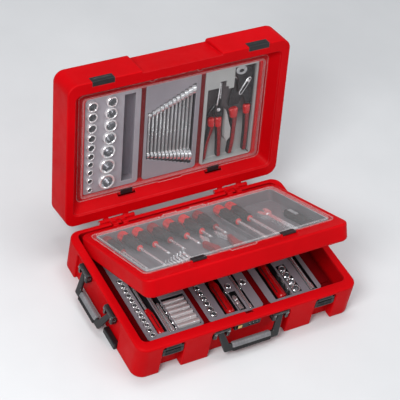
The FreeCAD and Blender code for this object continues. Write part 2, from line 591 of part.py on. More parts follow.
# ------------------------------------------------------------------ latches
pins = []
for side, s in (("left", -1), ("right", 1)):
    c = s * q("latch_x")
    plate = rbox("latch_%s_plate" % side, 54, 11, 15.5, c, -191.5, 54, None, None, 3)
    ears = [box("latch_%s_ear_%d" % (side, k), c + k * 23.5 - 3.5, c + k * 23.5 + 3.5, -196, -187, 60, 78) for k in (-1, 1)]
    axle = cyl("latch_%s_axle" % side, "x", 1.9, 44, c - 22, -191.5, 74)
    rib = box("latch_%s_rib" % side, c - 21, c + 21, -198.6, -196.5, 57, 60)
    lever = cut("latch_%s_lever" % side, fuse("latch_%s_lever_solid" % side, [plate, axle, rib] + ears),
                [cyl("latch_%s_pivot" % side, "x", 2.06, 80, c - 40, -189.5, 58.5)])
    node("latch_%s_lever" % side, lever)
    barrel = cyl("latch_%s_barrel" % side, "x", 4.2, 38.6, c - 19.3, -191.5, 74)
    tongue = box("latch_%s_tongue" % side, c - 19.3, c + 19.3, -196.8, -191, 74, 85.2)
    lip = box("latch_%s_lip" % side, c - 19.3, c + 19.3, -196.8, -186, 82.2, 85.2)
    ridge = cyl("latch_%s_ridge" % side, "x", 1.6, 32, c - 16, -197.0, 80)
    claw = cut("latch_%s_claw" % side, fuse("latch_%s_claw_solid" % side, [barrel, tongue, lip, ridge]),
               [cyl("latch_%s_eye" % side, "x", 1.96, 80, c - 40, -191.5, 74)])
    node("latch_%s_claw" % side, claw)
    pins.append(cyl("latch_pin_" + side, "x", 2.0, "latch_w", "%d*latch_x - latch_w/2" % s, -189.5, 58.5))
node("steel_pins", group("steel_pins", hinge_pin_list + pins))

# ------------------------------------------------------------------ combination lock
body = rbox("lock_block", 72, 12, 21, -8.5, -189.0, 64.5, 3, 2, 2)
windows = [box("lock_window_%d" % i, x - 3.9, x + 3.9, -196, -181, 68.6, 81.4) for i, x in enumerate((-4, 6, 16))]
track = box("lock_track", -42, -23.8, -196, -187, 69.5, 80.5)
axle = cyl("lock_axle", "x", 1.4, 40, -13, -190.4, 75)
node("lock_housing", fuse("lock_housing", [cut("lock_open", body, windows + [track]), axle]))
for label, x in (("left", -4), ("middle", 6), ("right", 16)):
    rim = cyl("lock_rim_" + label, "x", "wheel_r", "wheel_w", "%d - wheel_w/2" % x, -190.4, 75)
    eye = cyl("lock_eye_" + label, "x", 1.46, 12, x - 6, -190.4, 75)
    teeth = [cyl("lock_tooth_%s_%d" % (label, k), "x", 0.7, 12, x - 6, round(-190.4 + 5.45 * math.cos(math.radians(36 * k + 18)), 4),
                 round(75 + 5.45 * math.sin(math.radians(36 * k + 18)), 4)) for k in range(10)]
    node("lock_wheel_" + label, cut("lock_wheel_" + label, rim, [eye] + teeth))
node("lock_button", rbox("lock_button", 12, 9.2, 10.4, -30.4, -191.7, 69.8, 2, None, None))

# ------------------------------------------------------------------ middle tray
block = rbox("mid_block", "mid_w", "mid_rear - mid_front", "mid_top - mid_z", 0, "(mid_rear + mid_front)/2", "mid_z", "mid_r", 5, 9)
pocket = rbox("mid_pocket", "pocket_w", "pocket_rear - pocket_front", 60, 0, "(pocket_rear + pocket_front)/2", "pocket_floor", 14)
under = [box("mid_under_front", -240, 240, "mid_front + 6", "pocket_front - 4", "mid_z - 1", "mid_top - 6"),
         box("mid_under_left", "-mid_w/2 + 5", "-pocket_w/2 - 4", -130, 160, "mid_z - 1", "mid_top - 6"),
         box("mid_under_right", "pocket_w/2 + 4", "mid_w/2 - 5", -130, 160, "mid_z - 1", "mid_top - 6"),
         box("mid_under_rear", -240, 240, "pocket_rear + 4", "mid_rear - 5", "mid_z - 1", "mid_top - 14")]
cover_notch = box("mid_cover_notch", -68, 68, "mid_cover_y + mid_cover_d/2 - 4", "mid_cover_y + mid_cover_d/2 + 8", "mid_top - 5", 100)
tray_body = carve("mid_tray_carved", block, [pocket, cover_notch] + under)
ears = []
for i, x in enumerate((-121, 121)):
    for k in (-1, 1):
        ears.append(box("mid_clip_ear_%d_%d" % (i, k + 1), x + k * 21 - 2, x + k * 21 + 2, -140.5, -134.5, "mid_top - 1", 90.6))
    ears.append(cyl("mid_clip_axle_%d" % i, "x", 1.1, 40, x - 20, -137.5, 88.6))
tray_body = fuse("mid_tray_eared", [tray_body] + ears + knuckles("tray", "mid_rear - 3", "hinge_y", 81.5, 91.5))
tray_body = cut("mid_tray_bored", tray_body, [hinge_bore("mid_bore")])
cover_rod = cyl("mid_cover_rod", "x", 1.3, 138, -69, "mid_cover_y + mid_cover_d/2 + 2.4", "mid_top + 1.8")
posts = [box("mid_rod_post_%d" % k, 65 * k - 2.5, 65 * k + 2.5, "mid_cover_y + mid_cover_d/2 + 0.5", "mid_cover_y + mid_cover_d/2 + 5.4", "mid_top - 6", "mid_top + 4") for k in (-1, 1)]
node("mid_tray_shell", fuse("mid_tray_shell", [tray_body, cover_rod] + posts), swing="mid_open")
plate = cut("mid_insert_pan", rbox("mid_insert_block", "pocket_w - 2", "pocket_rear - pocket_front - 2", "mid_top - 0.8 - insert_top + 3", 0, "(pocket_rear + pocket_front)/2", "insert_top - 3", 13),
            [rbox("mid_insert_inside", "pocket_w - 7", "pocket_rear - pocket_front - 7", 50, 0, "(pocket_rear + pocket_front)/2", "insert_top", 10.5)])
ribs = [box("mid_insert_rib_%d" % i, x - 2, x + 2, "pocket_front + 16", "pocket_rear - 16", "pocket_floor", "insert_top - 2.5") for i, x in enumerate((-200, -70, 70, 200))]
divider = box("mid_insert_divider", 66, 69, "pocket_front + 6", "pocket_rear - 60", "insert_top - 1", 70)
node("mid_insert", fuse("mid_insert", [plate, divider] + ribs), swing="mid_open")

grips, blades = [], []
drivers = [(-222, 13.5, 92, 3.0, 118), (-180, 14.4, 98, 3.4, 120), (-140, 14.5, 100, 3.4, 66), (-99, 14.5, 100, 3.2, 62),
           (-55, 14.5, 102, 3.6, 56), (-12, 14.5, 100, 3.2, 40), (28, 14.5, 98, 3.0, 44), (88, 14.5, 104, 4.2, 146), (121, 14.5, 104, 4.4, 146)]
for i, (x, r, length, shaft, reach) in enumerate(drivers):
    y1 = 147.0
    zc = round(q("insert_top") + r, 3)
    g = fuse("driver_grip_%d_body" % i, [cyl("driver_grip_%d_core" % i, "y", r, length - 24, x, y1 - length + 24, zc),
                                         cone("driver_grip_%d_neck" % i, "y", round(r * 0.55, 3), r, 24, x, y1 - length, zc)])
    fl = [cyl("driver_flute_%d_%d" % (i, k), "y", 3.2, length - 40, round(x + (r + 1.6) * math.cos(math.radians(60 * k)), 4), y1 - length + 26,
              round(zc + (r + 1.6) * math.sin(math.radians(60 * k)), 4)) for k in range(6)]
    fl.append(cyl("driver_hole_%d" % i, "y", shaft, 24, x, y1 - length - 2, zc))
    grips.append(cut("driver_grip_%d" % i, g, fl))
    rod = cyl("driver_rod_%d" % i, "y", shaft, reach + 20, x, y1 - length - reach, zc)
    tip = box("driver_tip_%d" % i, x - shaft * 1.05, x + shaft * 1.05, y1 - length - reach - 8, y1 - length - reach + 1, zc - 0.6, zc + 0.6)
    blades.append(fuse("driver_blade_%d" % i, [rod, tip]))
node("screwdriver_grips", group("screwdriver_grips", grips), swing="mid_open")
node("screwdriver_blades", group("screwdriver_blades", blades), swing="mid_open")

keys = []
key_x = [-168, -160, -151, -142, -132, -121, -109]
key_r = [1.2, 1.5, 1.9, 2.3, 2.8, 3.3, 3.9]
for i, (x, r) in enumerate(zip(key_x, key_r)):
    zc = 66.0
    long_arm = hexa("hex_key_%d_long" % i, "y", r, round(30 + 9.0 * r, 3), x, -98, zc)
    short_arm = hexa("hex_key_%d_short" % i, "z", r, round(4 + 2.0 * r, 3), x, round(-98 + 30 + 9.0 * r - r * 0.8, 3), zc)
    keys.append(fuse("hex_key_%d" % i, [long_arm, short_arm]))
holder = rbox("hex_holder_block", 76, 26, 16, -139, -100, "insert_top", 5, 3)
node("hex_key_holder", cut("hex_key_holder", holder, [hexa("hex_seat_%d" % i, "y", round(r + 0.15, 3), 40, x, -98.2, 66.0) for i, (x, r) in enumerate(zip(key_x, key_r))]),
     swing="mid_open")
node("hex_keys", group("hex_keys", keys), swing="mid_open")
# snips: two bowed handles in soft covers and a short steel head
bows = []
for i, (x, turn) in enumerate(((-42, 1), (28, -1))):
    pts = [(x - 9, -108), (x + 9, -108), (x + 9 + 8 * turn, -60), (x + 6, -14), (x - 6, -14), (x - 9 + 8 * turn, -60)]
    b = outline("snip_bow_%d" % i, pts, "XY", 17, "insert_top")
    bows.append(soften("snip_bow_soft_%d" % i, b, 4.0, lambda e: True))
node("snips_handles", group("snips_handles", bows), swing="mid_open")
jaw = [outline("snip_jaw_0", [(-36, -13.5), (-24, -13.5), (-14, 14), (-22, 44), (-30, 20)], "XY", 8, "insert_top + 1"),
       outline("snip_jaw_1", [(22, -13.5), (34, -13.5), (30, 16), (18, 44), (12, 16)], "XY", 8, "insert_top + 1")]
node("snips_heads", group("snips_heads", jaw), swing="mid_open")
# long bars, adjustable spanner and knife on the right
adj = outline("adjustable_arm", [(168, -100), (184, -100), (182, 40), (192, 58), (192, 84), (181, 84), (180, 66), (172, 66), (171, 76), (160, 76), (160, 56), (170, 40)], "XY", 11, "insert_top")
eye = cyl("adjustable_eye", "z", 4.5, 30, 176, -90, "insert_top - 2")
node("adjustable_spanner", cut("adjustable_spanner", adj, [eye]), swing="mid_open")
knife = rbox("knife_block", 24, 150, 17, 222, -40, "insert_top", 9, 5, 3)
node("utility_knife", group("utility_knife", [knife]), swing="mid_open")


# ------------------------------------------------------------------ clear covers
def cover(name, depth, cy, z_seat, up, tab_front):
    """Clear lid: flange, raised panel, hinge barrels and finger tab."""
    if up > 0:
        f0, p0, h0, ph = z_seat, z_seat + " + cover_t - 0.4", z_seat, "2.9"
        hz0 = z_seat
    else:
        f0, p0, hz0, ph = z_seat + " - cover_t", z_seat + " - cover_t - 4.5", z_seat + " - 4.5", "4.9"
    flange = rbox(name + "_flange", "cover_w", depth, "cover_t", 0, cy, f0, 13)
    panel = rbox(name + "_panel", "cover_w - 20", depth + " - 20", ph, 0, cy, p0, 8)
    inside = rbox(name + "_inside", "cover_w - 25", depth + " - 25", "cover_t + 2.9 - 2.5" if up > 0 else "5.0", 0, cy,
                  z_seat + " - 0.4" if up > 0 else z_seat + " - 4.5", 6)
    edge = ("%s + %s/2" if tab_front else "%s - %s/2") % (cy, depth)
    free = ("%s - %s/2" if tab_front else "%s + %s/2") % (cy, depth)
    zc = z_seat + (" + 1.8" if up > 0 else " - 1.8")
    parts = [flange, panel]
    bores = [inside]
    for i, x in enumerate((-56, 20)):
        if tab_front:
            parts.append(cyl("%s_barrel_%d" % (name, i), "x", 2.7, 36, x, edge + " + 2.4", zc))
            parts.append(box("%s_leaf_%d" % (name, i), x, x + 36, edge + " - 4", edge + " + 2.4", f0, f0 + " + cover_t"))
            bores.append(cyl("%s_eye_%d" % (name, i), "x", 1.62, 50, x - 7, edge + " + 2.4", zc))
        else:
            parts.append(cyl("%s_barrel_%d" % (name, i), "x", 2.7, 36, x, edge + " - 2.4", zc))
            parts.append(box("%s_leaf_%d" % (name, i), x, x + 36, edge + " - 2.4", edge + " + 4", f0, f0 + " + cover_t"))
            bores.append(cyl("%s_eye_%d" % (name, i), "x", 1.62, 50, x - 7, edge + " - 2.4", zc))
    for k in (-1, 1):
        lo, hi = (" - 3.4", " + 1") if tab_front else (" - 1", " + 3.4")
        bores.append(box("%s_relief_%d" % (name, k + 1), 65 * k - 4.5, 65 * k + 4.5, edge + lo, edge + hi, f0 + " - 1", f0 + " + cover_t + 1"))
    if tab_front:
        parts.append(rbox(name + "_tab", 70, 12, "cover_t", 0, free + " - 3", f0, 4))
    else:
        parts.append(rbox(name + "_tab", 66, 8, "cover_t", 0, free + " - 1.2", f0, 3))
    return cut(name, fuse(name + "_solid", parts), bores)


node("mid_cover", cover("mid_cover", "mid_cover_d", "mid_cover_y", "mid_top", 1, True), swing="mid_open")
node("lid_cover", cover("lid_cover", "lid_cover_d", "lid_cover_y", "shelf_z", -1, False), swing="lid_open")
for side, x in (("left", -121), ("right", 121)):
    top = box("mid_clip_%s_top" % side, x - 18, x + 18, -139.4, -123.5, 88.9, 92.2)
    barrel = cyl("mid_clip_%s_barrel" % side, "x", 2.3, 36, x - 18, -137.5, 88.6)
    eye = cyl("mid_clip_%s_eye" % side, "x", 1.16, 50, x - 25, -137.5, 88.6)
    clip = cut("mid_clip_%s" % side, fuse("mid_clip_%s_solid" % side, [top, barrel]), [eye])
    node("mid_clip_" + side, clip, swing="mid_open")
for side, x in (("left", -123), ("right", 123)):
    top = box("lid_clip_%s_top" % side, x - 15.5, x + 15.5, 145.5, 157.4, 120.4, 123.7)
    barrel = cyl("lid_clip_%s_barrel" % side, "x", 2.3, 31, x - 15.5, 155.5, 124.0)
    eye = cyl("lid_clip_%s_eye" % side, "x", 1.16, 50, x - 25, 155.5, 124.0)
    clip = cut("lid_clip_%s" % side, fuse("lid_clip_%s_solid" % side, [top, barrel]), [eye])
    node("lid_clip_" + side, clip, swing="lid_open")

# ------------------------------------------------------------------ lid
outer = rbox("lid_block", "case_w", "case_d", "lid_h", 0, 0, "lid_rim", "plan_r", "crown_r", 3)
d2 = q("case_d") / 2
z0, z1 = q("lid_rim"), q("lid_rim") + q("lid_h")
front_recess = outline("lid_front_recess", [(-d2 - 3, z0 - 2), (-d2 + 5, z0 - 2), (-d2 + 14, z1 + 2), (-d2 - 3, z1 + 2)], "YZ", "2*grip_zone", "-grip_zone")
back_panel = rbox("lid_back_panel", 430, 250, 6, 0, 0, "lid_rim + lid_h - 2.5", 24)
keeper_seats = []
for side, s in (("left", -1), ("right", 1)):
    keeper_seats.append(box("keeper_seat_" + side, "%d*latch_x - 29" % s, "%d*latch_x + 29" % s, "-case_d/2 - 2", "-case_d/2 + 3", "lid_rim - 1", "lid_rim + 20"))
    keeper_seats.append(box("keeper_lip_seat_" + side, "%d*latch_x - 29" % s, "%d*latch_x + 29" % s, "-case_d/2 - 2", "-case_d/2 + 12.5", "lid_rim - 1", "lid_rim + 3.5"))
carved = carve("lid_carved", outer, [front_recess, back_panel] + keeper_seats)


def lid_mouth(e):
    xs = [v.Point.x for v in e.Vertexes]
    zs = [v.Point.z for v in e.Vertexes]
    ys = [v.Point.y for v in e.Vertexes]
    return all(abs(abs(x) - q("grip_zone")) < 1e-3 for x in xs) and all(abs(y + d2) < 1e-3 for y in ys) and max(zs) - min(zs) > 20


carved = soften("lid_carved_soft", carved, 3.0, lid_mouth)
lid_keep = [box("lid_front_keep", "-grip_zone - 5", "grip_zone + 5", "-case_d/2 - 2", "-case_d/2 + 18.5", 90, 200)]
for side, s in (("left", -1), ("right", 1)):
    lid_keep.append(box("lid_keeper_keep_" + side, "%d*latch_x - 33" % s, "%d*latch_x + 33" % s, "-case_d/2 - 2", "-case_d/2 + 8", 90, "lid_rim + 24"))
    lid_keep.append(box("lid_keeper_keep_b" + side, "%d*latch_x - 33" % s, "%d*latch_x + 33" % s, "-case_d/2 - 2", "-case_d/2 + 17", 90, "lid_rim + 8"))
hollow = cut("lid_hollow", rbox("lid_hollow_block", "case_w - 2*skin", "case_d - 2*skin", "lid_h - 2*skin - 2.5", 0, 0, "lid_rim + skin", "plan_r - skin"), lid_keep)


def dish(name, grow, rise):
    """Tapered dish: wide at the rim, narrower at the shelf."""
    o = doc.addObject("Part::Wedge", name)
    h = "(dish_deep + 0.5 + %r)" % rise
    for axis, half in (("X", "(dish_w/2 + %r)" % grow), ("Z", "(dish_d/2 + %r)" % grow)):
        o.setExpression(axis + "min", ex("-" + half))
        o.setExpression(axis + "max", ex(half))
        o.setExpression(axis + "2min", ex("-%s + dish_slope*%s" % (half, h)))
        o.setExpression(axis + "2max", ex("%s - dish_slope*%s" % (half, h)))
    o.setExpression("Ymin", "0")
    o.setExpression("Ymax", ex(h))
    o.Placement = Placement(Vector(), Rotation(Vector(1, 0, 0), 90))
    move(o, 0, "dish_cy", "lid_rim - 0.5")
    return soften(name + "_soft", o, q("dish_r") + grow,
                  lambda e: abs(e.Vertexes[0].Point.z - e.Vertexes[-1].Point.z) > 1)


shell = carve("lid_shell_body", carved, [hollow, dish("lid_dish_cut", 0.0, 0.0)])
shell = fuse("lid_shell_hinged", [shell] + knuckles("lid", "case_d/2 - 3", "hinge_y + 0.5", 96.9, 102.5))
shell = cut("lid_shell", shell, [hinge_bore("lid_bore")])
node("lid_shell", shell, swing="lid_open")

body = fuse("lid_liner_body", [dish("lid_dish_outer", 3.0, 3.0),
                               rbox("lid_shelf_block", 486, 282, "deck_z + sheet_t + 4 - shelf_z", 0, "tray_cy", "shelf_z", 12)])
cuts = [dish("lid_dish_inner", 0.0, 0.0), box("lid_liner_trim", -320, 320, -220, 220, 90, "lid_rim + skin"),
        rbox("lid_tray_pocket", 480, 276, "deck_z + sheet_t - shelf_z + 1", 0, "tray_cy", "shelf_z - 1", 10)]
for i in (-1, 0, 1):
    cuts.append(box("lid_well_%d" % (i + 1), "%d*tray_step - well_w/2 - 0.5" % i, "%d*tray_step + well_w/2 + 0.5" % i,
                    "tray_cy - well_l/2 - 0.5", "tray_cy + well_l/2 + 0.5", "shelf_z + 2", 150))
cuts.append(box("lid_cover_notch", -68, 68, "lid_cover_y - lid_cover_d/2 - 8", "lid_cover_y - lid_cover_d/2 + 3", "shelf_z - 12", "shelf_z + 1.5"))
for i, x in enumerate((-123, 123)):
    cuts.append(box("lid_clip_notch_%d" % i, x - 24, x + 24, 140, 161, "shelf_z - 14", "shelf_z"))
liner = carve("lid_liner_cut", body, cuts)
ears = []
for i, x in enumerate((-123, 123)):
    for k in (-1, 1):
        ears.append(box("lid_clip_ear_%d_%d" % (i, k + 1), x + k * 18.5 - 2, x + k * 18.5 + 2, 152.5, 158.5, 121.6, "shelf_z + 1"))
    ears.append(cyl("lid_clip_axle_%d" % i, "x", 1.1, 35, x - 17.5, 155.5, 124.0))
ears.append(cyl("lid_cover_rod", "x", 1.3, 132, -66, "lid_cover_y - lid_cover_d/2 - 2.4", "shelf_z - 1.8"))
ears += [box("lid_rod_post_%d" % k, 65 * k - 2.5, 65 * k + 2.5, "lid_cover_y - lid_cover_d/2 - 6", "lid_cover_y - lid_cover_d/2 - 0.5", "shelf_z - 4", "shelf_z + 2") for k in (-1, 1)]
node("lid_liner", fuse("lid_liner", [liner] + ears), swing="lid_open")

keepers = []
for side, s in (("left", -1), ("right", 1)):
    c = s * q("latch_x")
    front = box("keeper_plate_" + side, c - 28.5, c + 28.5, -d2 - 1.0, -d2 + 2.9, z0, z0 + 19.5)
    lip = box("keeper_lip_" + side, c - 28.5, c + 28.5, -d2 - 1.0, -d2 + 12, z0, z0 + 3.4)
    ridge = cyl("keeper_ridge_" + side, "x", 2.0, 46, c - 23, -d2 - 0.6, z0 + 12)
    keepers.append(fuse("keeper_" + side, [front, lip, ridge]))
node("lid_keepers", group("lid_keepers", keepers), swing="lid_open")

# left lid tray: two columns of sockets
small_s = [309.6, 280.5, 249.7, 221.7, 194.9, 170.8, 147.9, 124.5, 99.9, 74.5]
small_r = [13.7, 13.0, 12.5, 11.2, 10.5, 9.5, 8.5, 8.0, 7.5, 7.0]
small_x = [-219.5, -219.5, -219.8, -220.2, -220.6, -221.2, -221.8, -221.8, -222.0, -222.0]
large_s = [312.0, 280.0, 246.0, 211.0, 173.5, 131.5, 86.5]
large_r = [14.0, 15.6, 16.4, 17.0, 18.6, 20.2, 21.0]
large_x = [-168.6, -169.5, -170.0, -171.5, -174.5, -175.5, -175.5]
lid_y = q("case_d") / 2
sockets, holes = [], []
for tag, xs, ss, rs in (("s", small_x, small_s, small_r), ("l", large_x, large_s, large_r)):
    for i, (x, s, r) in enumerate(zip(xs, ss, rs)):
        y = round(lid_y - s, 3)
        x = round(x, 3)
        sockets.append(upright_socket("lid_socket_%s%d" % (tag, i), r, round(q("lid_floor") - q("mouth_z"), 4), x, y, q("mouth_z"), True))
        holes.append(cyl("lid_socket_hole_%s%d" % (tag, i), "z", round(r + 0.4, 3), 30, x, y, 125))
node("lid_sockets", group("lid_sockets", sockets), swing="lid_open")
holes.append(box("lid_bin_slot", -133, -103, -120, 128, 125, 150))
node("lid_tray_left", tray("lid_tray_left", -1, "deck_z", "lid_floor", -1, holes), swing="lid_open")

# middle lid tray: twelve combination spanners standing on edge
spanners, holes, rack = [], [], []
for i in range(12):
    af = 8 + i
    x = round(-62 + i * 10.9, 3)
    s0, s1 = 120 - 4.0 * i, 249 + 4.9 * i
    y0, y1 = lid_y - s1, lid_y - s0
    ring = round(0.86 * af, 3)
    jaw = round(0.96 * af, 3)
    t_ring, t_jaw, shank = round(4.9 + 0.27 * af, 3), round(4.2 + 0.20 * af, 3), round(0.42 * af + 2.4, 3)
    zc = round(129.5 + jaw, 3)
    n = "spanner_%d" % af
    bar = box(n + "_shank", round(x - 1.9 - 0.03 * af, 3), round(x + 1.9 + 0.03 * af, 3), round(y0 + ring, 3), round(y1 - jaw, 3), round(zc - shank / 2, 3), round(zc + shank / 2, 3))
    eye = cyl(n + "_ring", "x", ring, t_ring, round(x - t_ring / 2, 3), round(y0 + ring, 3), zc)
    fork = cyl(n + "_jaw", "x", jaw, t_jaw, round(x - t_jaw / 2, 3), round(y1 - jaw, 3), zc)
    hole = hexa(n + "_hex", "x", round(0.55 * af, 3), 20, round(x - 10, 3), round(y0 + ring, 3), zc)
    gap = box(n + "_gap", x - 10, x + 10, round(y1 - 1.25 * jaw, 3), round(y1 + 5, 3), round(zc - 0.5 * af, 3), round(zc + 0.5 * af, 3))
    spanners.append(cut(n, fuse(n + "_solid", [bar, eye, fork]), [hole, gap]))
    holes.append(box(n + "_slot", round(x - 5.5, 3), round(x + 5.5, 3), round(y0 - 3, 3), round(y1 + 3, 3), 125, 150))
    for k, y in enumerate((-30.0, 30.0)):
        rack.append(box("%s_rest_%d" % (n, k), x - 1.5, x + 1.5, y - 4, y + 4, round(zc + shank / 2, 3), "lid_floor + 0.5"))
node("combination_spanners", group("combination_spanners", spanners), swing="lid_open")
node("lid_tray_middle", tray("lid_tray_middle", 0, "deck_z", "lid_floor", -1, holes, rack), swing="lid_open")

# right lid tray: long-nose pliers and slip-joint pump pliers on a raised floor
bed = box("plier_bed", "tray_step - well_w/2 + 1", "tray_step + well_w/2 - 1", "tray_cy - well_l/2 + 1", "tray_cy + well_l/2 - 1", 152.6, 155)
holes = [box("plier_slot_a", 97, 157, -77, 138, 125, 152), box("plier_slot_tip", 131, 149, -94, -70, 125, 152),
         box("plier_slot_b", 156, 234, -69, 138, 125, 152), box("plier_slot_head", 171, 234, -125, -60, 125, 152)]


def flat(name, pts, z_low, thick, soft=0.0):
    b = outline(name, [(x, round(lid_y - s, 3)) for x, s in pts], "XY", thick, z_low)
    if soft:
        b = soften(name + "_soft", b, soft, lambda e: True)
    return b


tongue = flat("plier_tongue", [(153.5, 207), (160, 190), (165.5, 168), (172, 150), (172, 122), (163, 112), (156.5, 125), (154, 160)], "deck_z", 20.5)
node("lid_tray_right", tray("lid_tray_right", 1, "deck_z", "lid_floor", -1, holes, [bed, tongue]), swing="lid_open")
nose = [flat("nose_half_a", [(135.5, 289), (139.6, 290), (141, 262), (139.5, 226), (147.5, 202), (148.5, 185.5), (131, 185.5), (124.5, 203), (129, 237)], 140.6, 6),
        flat("nose_half_b", [(140.4, 289.5), (145, 286), (147, 262), (147.5, 221), (138, 202), (128.5, 186), (109.5, 189), (113, 200), (127, 217), (139.8, 230)], 146.6, 6)]
nose.append(cyl("nose_rivet", "z", 4.0, 1.0, 136.5, lid_y - 207, 139.6))
node("long_nose_pliers", group("long_nose_pliers", nose), swing="lid_open")
pump = [flat("pump_half_a", [(174.8, 306.8), (182, 319), (199, 321), (217, 314), (230, 299.5), (232.5, 270), (232.5, 233), (232, 204.5), (212, 204.5), (208, 226), (196, 238), (188, 256), (186, 281)], 140.6, 6),
        flat("pump_half_b", [(181.3, 280), (205, 292), (222, 285), (224, 262), (206, 226), (198, 204), (168.5, 204), (170, 236), (180, 262)], 146.6, 6)]
pump.append(cyl("pump_rivet", "z", 4.0, 1.0, 216, lid_y - 273, 139.6))
node("pump_pliers", group("pump_pliers", pump), swing="lid_open")
sleeves = [flat("nose_sleeve_a", [(131.5, 184), (149, 183), (150.5, 156), (151, 130), (152.5, 100), (154, 75), (154.5, 64.5), (141.5, 64.5), (140, 75), (138.5, 100), (136.5, 130), (133, 156)], 138.6, 14, 2.5),
           flat("nose_sleeve_b", [(109, 186), (128.5, 182.5), (129.6, 158), (127, 150), (121, 134), (115, 110), (112, 82), (111.5, 64.5), (99, 64.5), (99.2, 82), (102, 110), (108, 138), (112.5, 152), (110.5, 166)], 138.6, 14, 2.5),
           flat("pump_sleeve_a", [(211.5, 202.5), (231.5, 201), (231, 174), (231.2, 133), (231, 94), (230.5, 64.5), (216, 64.5), (216.5, 94), (216.5, 133), (214, 175)], 138.6, 14, 2.5),
           flat("pump_sleeve_b", [(168.5, 202), (196, 198.5), (195, 171), (193.5, 144), (192, 105), (189, 78), (187, 64.5), (170.5, 64.5), (172.5, 78), (175, 105), (176, 144), (174.8, 173)], 138.6, 14, 2.5)]
node("pliers_sleeves", group("pliers_sleeves", sleeves), swing="lid_open")
# ------------------------------------------------------------------ check and write
doc.recompute()
bad = []
for o in doc.Objects:
    if "Invalid" in o.State or "Error" in o.State:
        bad.append(o.Name)
for name, o in NODES.items():
    print("%-24s solids %2d volume_cm3 %8.1f" % (name, len(o.Shape.Solids), o.Shape.Volume / 1000))
    if o.Shape.isNull() or not o.Shape.isValid() or not o.Shape.Solids:
        bad.append(name)
if bad:
    raise RuntimeError("not sound: " + ", ".join(bad))
os.makedirs("parts", exist_ok=True)
for name, o in NODES.items():
    o.Shape.exportStep("parts/%s.step" % name)
print(len(NODES), "sub-parts written")
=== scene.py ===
import bpy
import math
from mathutils import Matrix, Vector


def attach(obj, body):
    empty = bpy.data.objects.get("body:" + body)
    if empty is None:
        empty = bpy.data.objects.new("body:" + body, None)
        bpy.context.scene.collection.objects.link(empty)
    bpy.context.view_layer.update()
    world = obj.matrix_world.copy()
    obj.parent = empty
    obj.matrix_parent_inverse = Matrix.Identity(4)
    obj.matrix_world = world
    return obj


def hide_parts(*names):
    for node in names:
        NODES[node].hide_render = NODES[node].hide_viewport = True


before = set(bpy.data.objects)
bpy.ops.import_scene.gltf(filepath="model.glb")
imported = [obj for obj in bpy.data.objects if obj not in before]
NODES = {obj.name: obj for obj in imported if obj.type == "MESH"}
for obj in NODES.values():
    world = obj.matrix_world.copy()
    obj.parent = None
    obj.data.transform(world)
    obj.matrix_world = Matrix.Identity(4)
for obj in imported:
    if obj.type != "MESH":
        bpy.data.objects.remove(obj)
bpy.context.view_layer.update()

# Lengths below are millimetres in the shut case's frame unless noted; the
# middle tray and the lid are then swung open about the rear hinge line.
HINGE = Vector((0, 205, 93))
MID_OPEN, LID_OPEN = 27.25, 100.9


def swung(angle):
    return (Matrix.Scale(0.001, 4) @ Matrix.Translation(HINGE)
            @ Matrix.Rotation(math.radians(angle), 4, Vector((-1, 0, 0))) @ Matrix.Translation(-HINGE))


BASE, MID, LID = Matrix.Scale(0.001, 4), swung(MID_OPEN), swung(LID_OPEN)
# the three base trays and their tools sit a little to the right of centre
DL, DM, DR = 4, 6, 11
LEFT, MIDDLE, RIGHT = [BASE @ Matrix.Translation((d, 0, 0)) for d in (DL, DM, DR)]


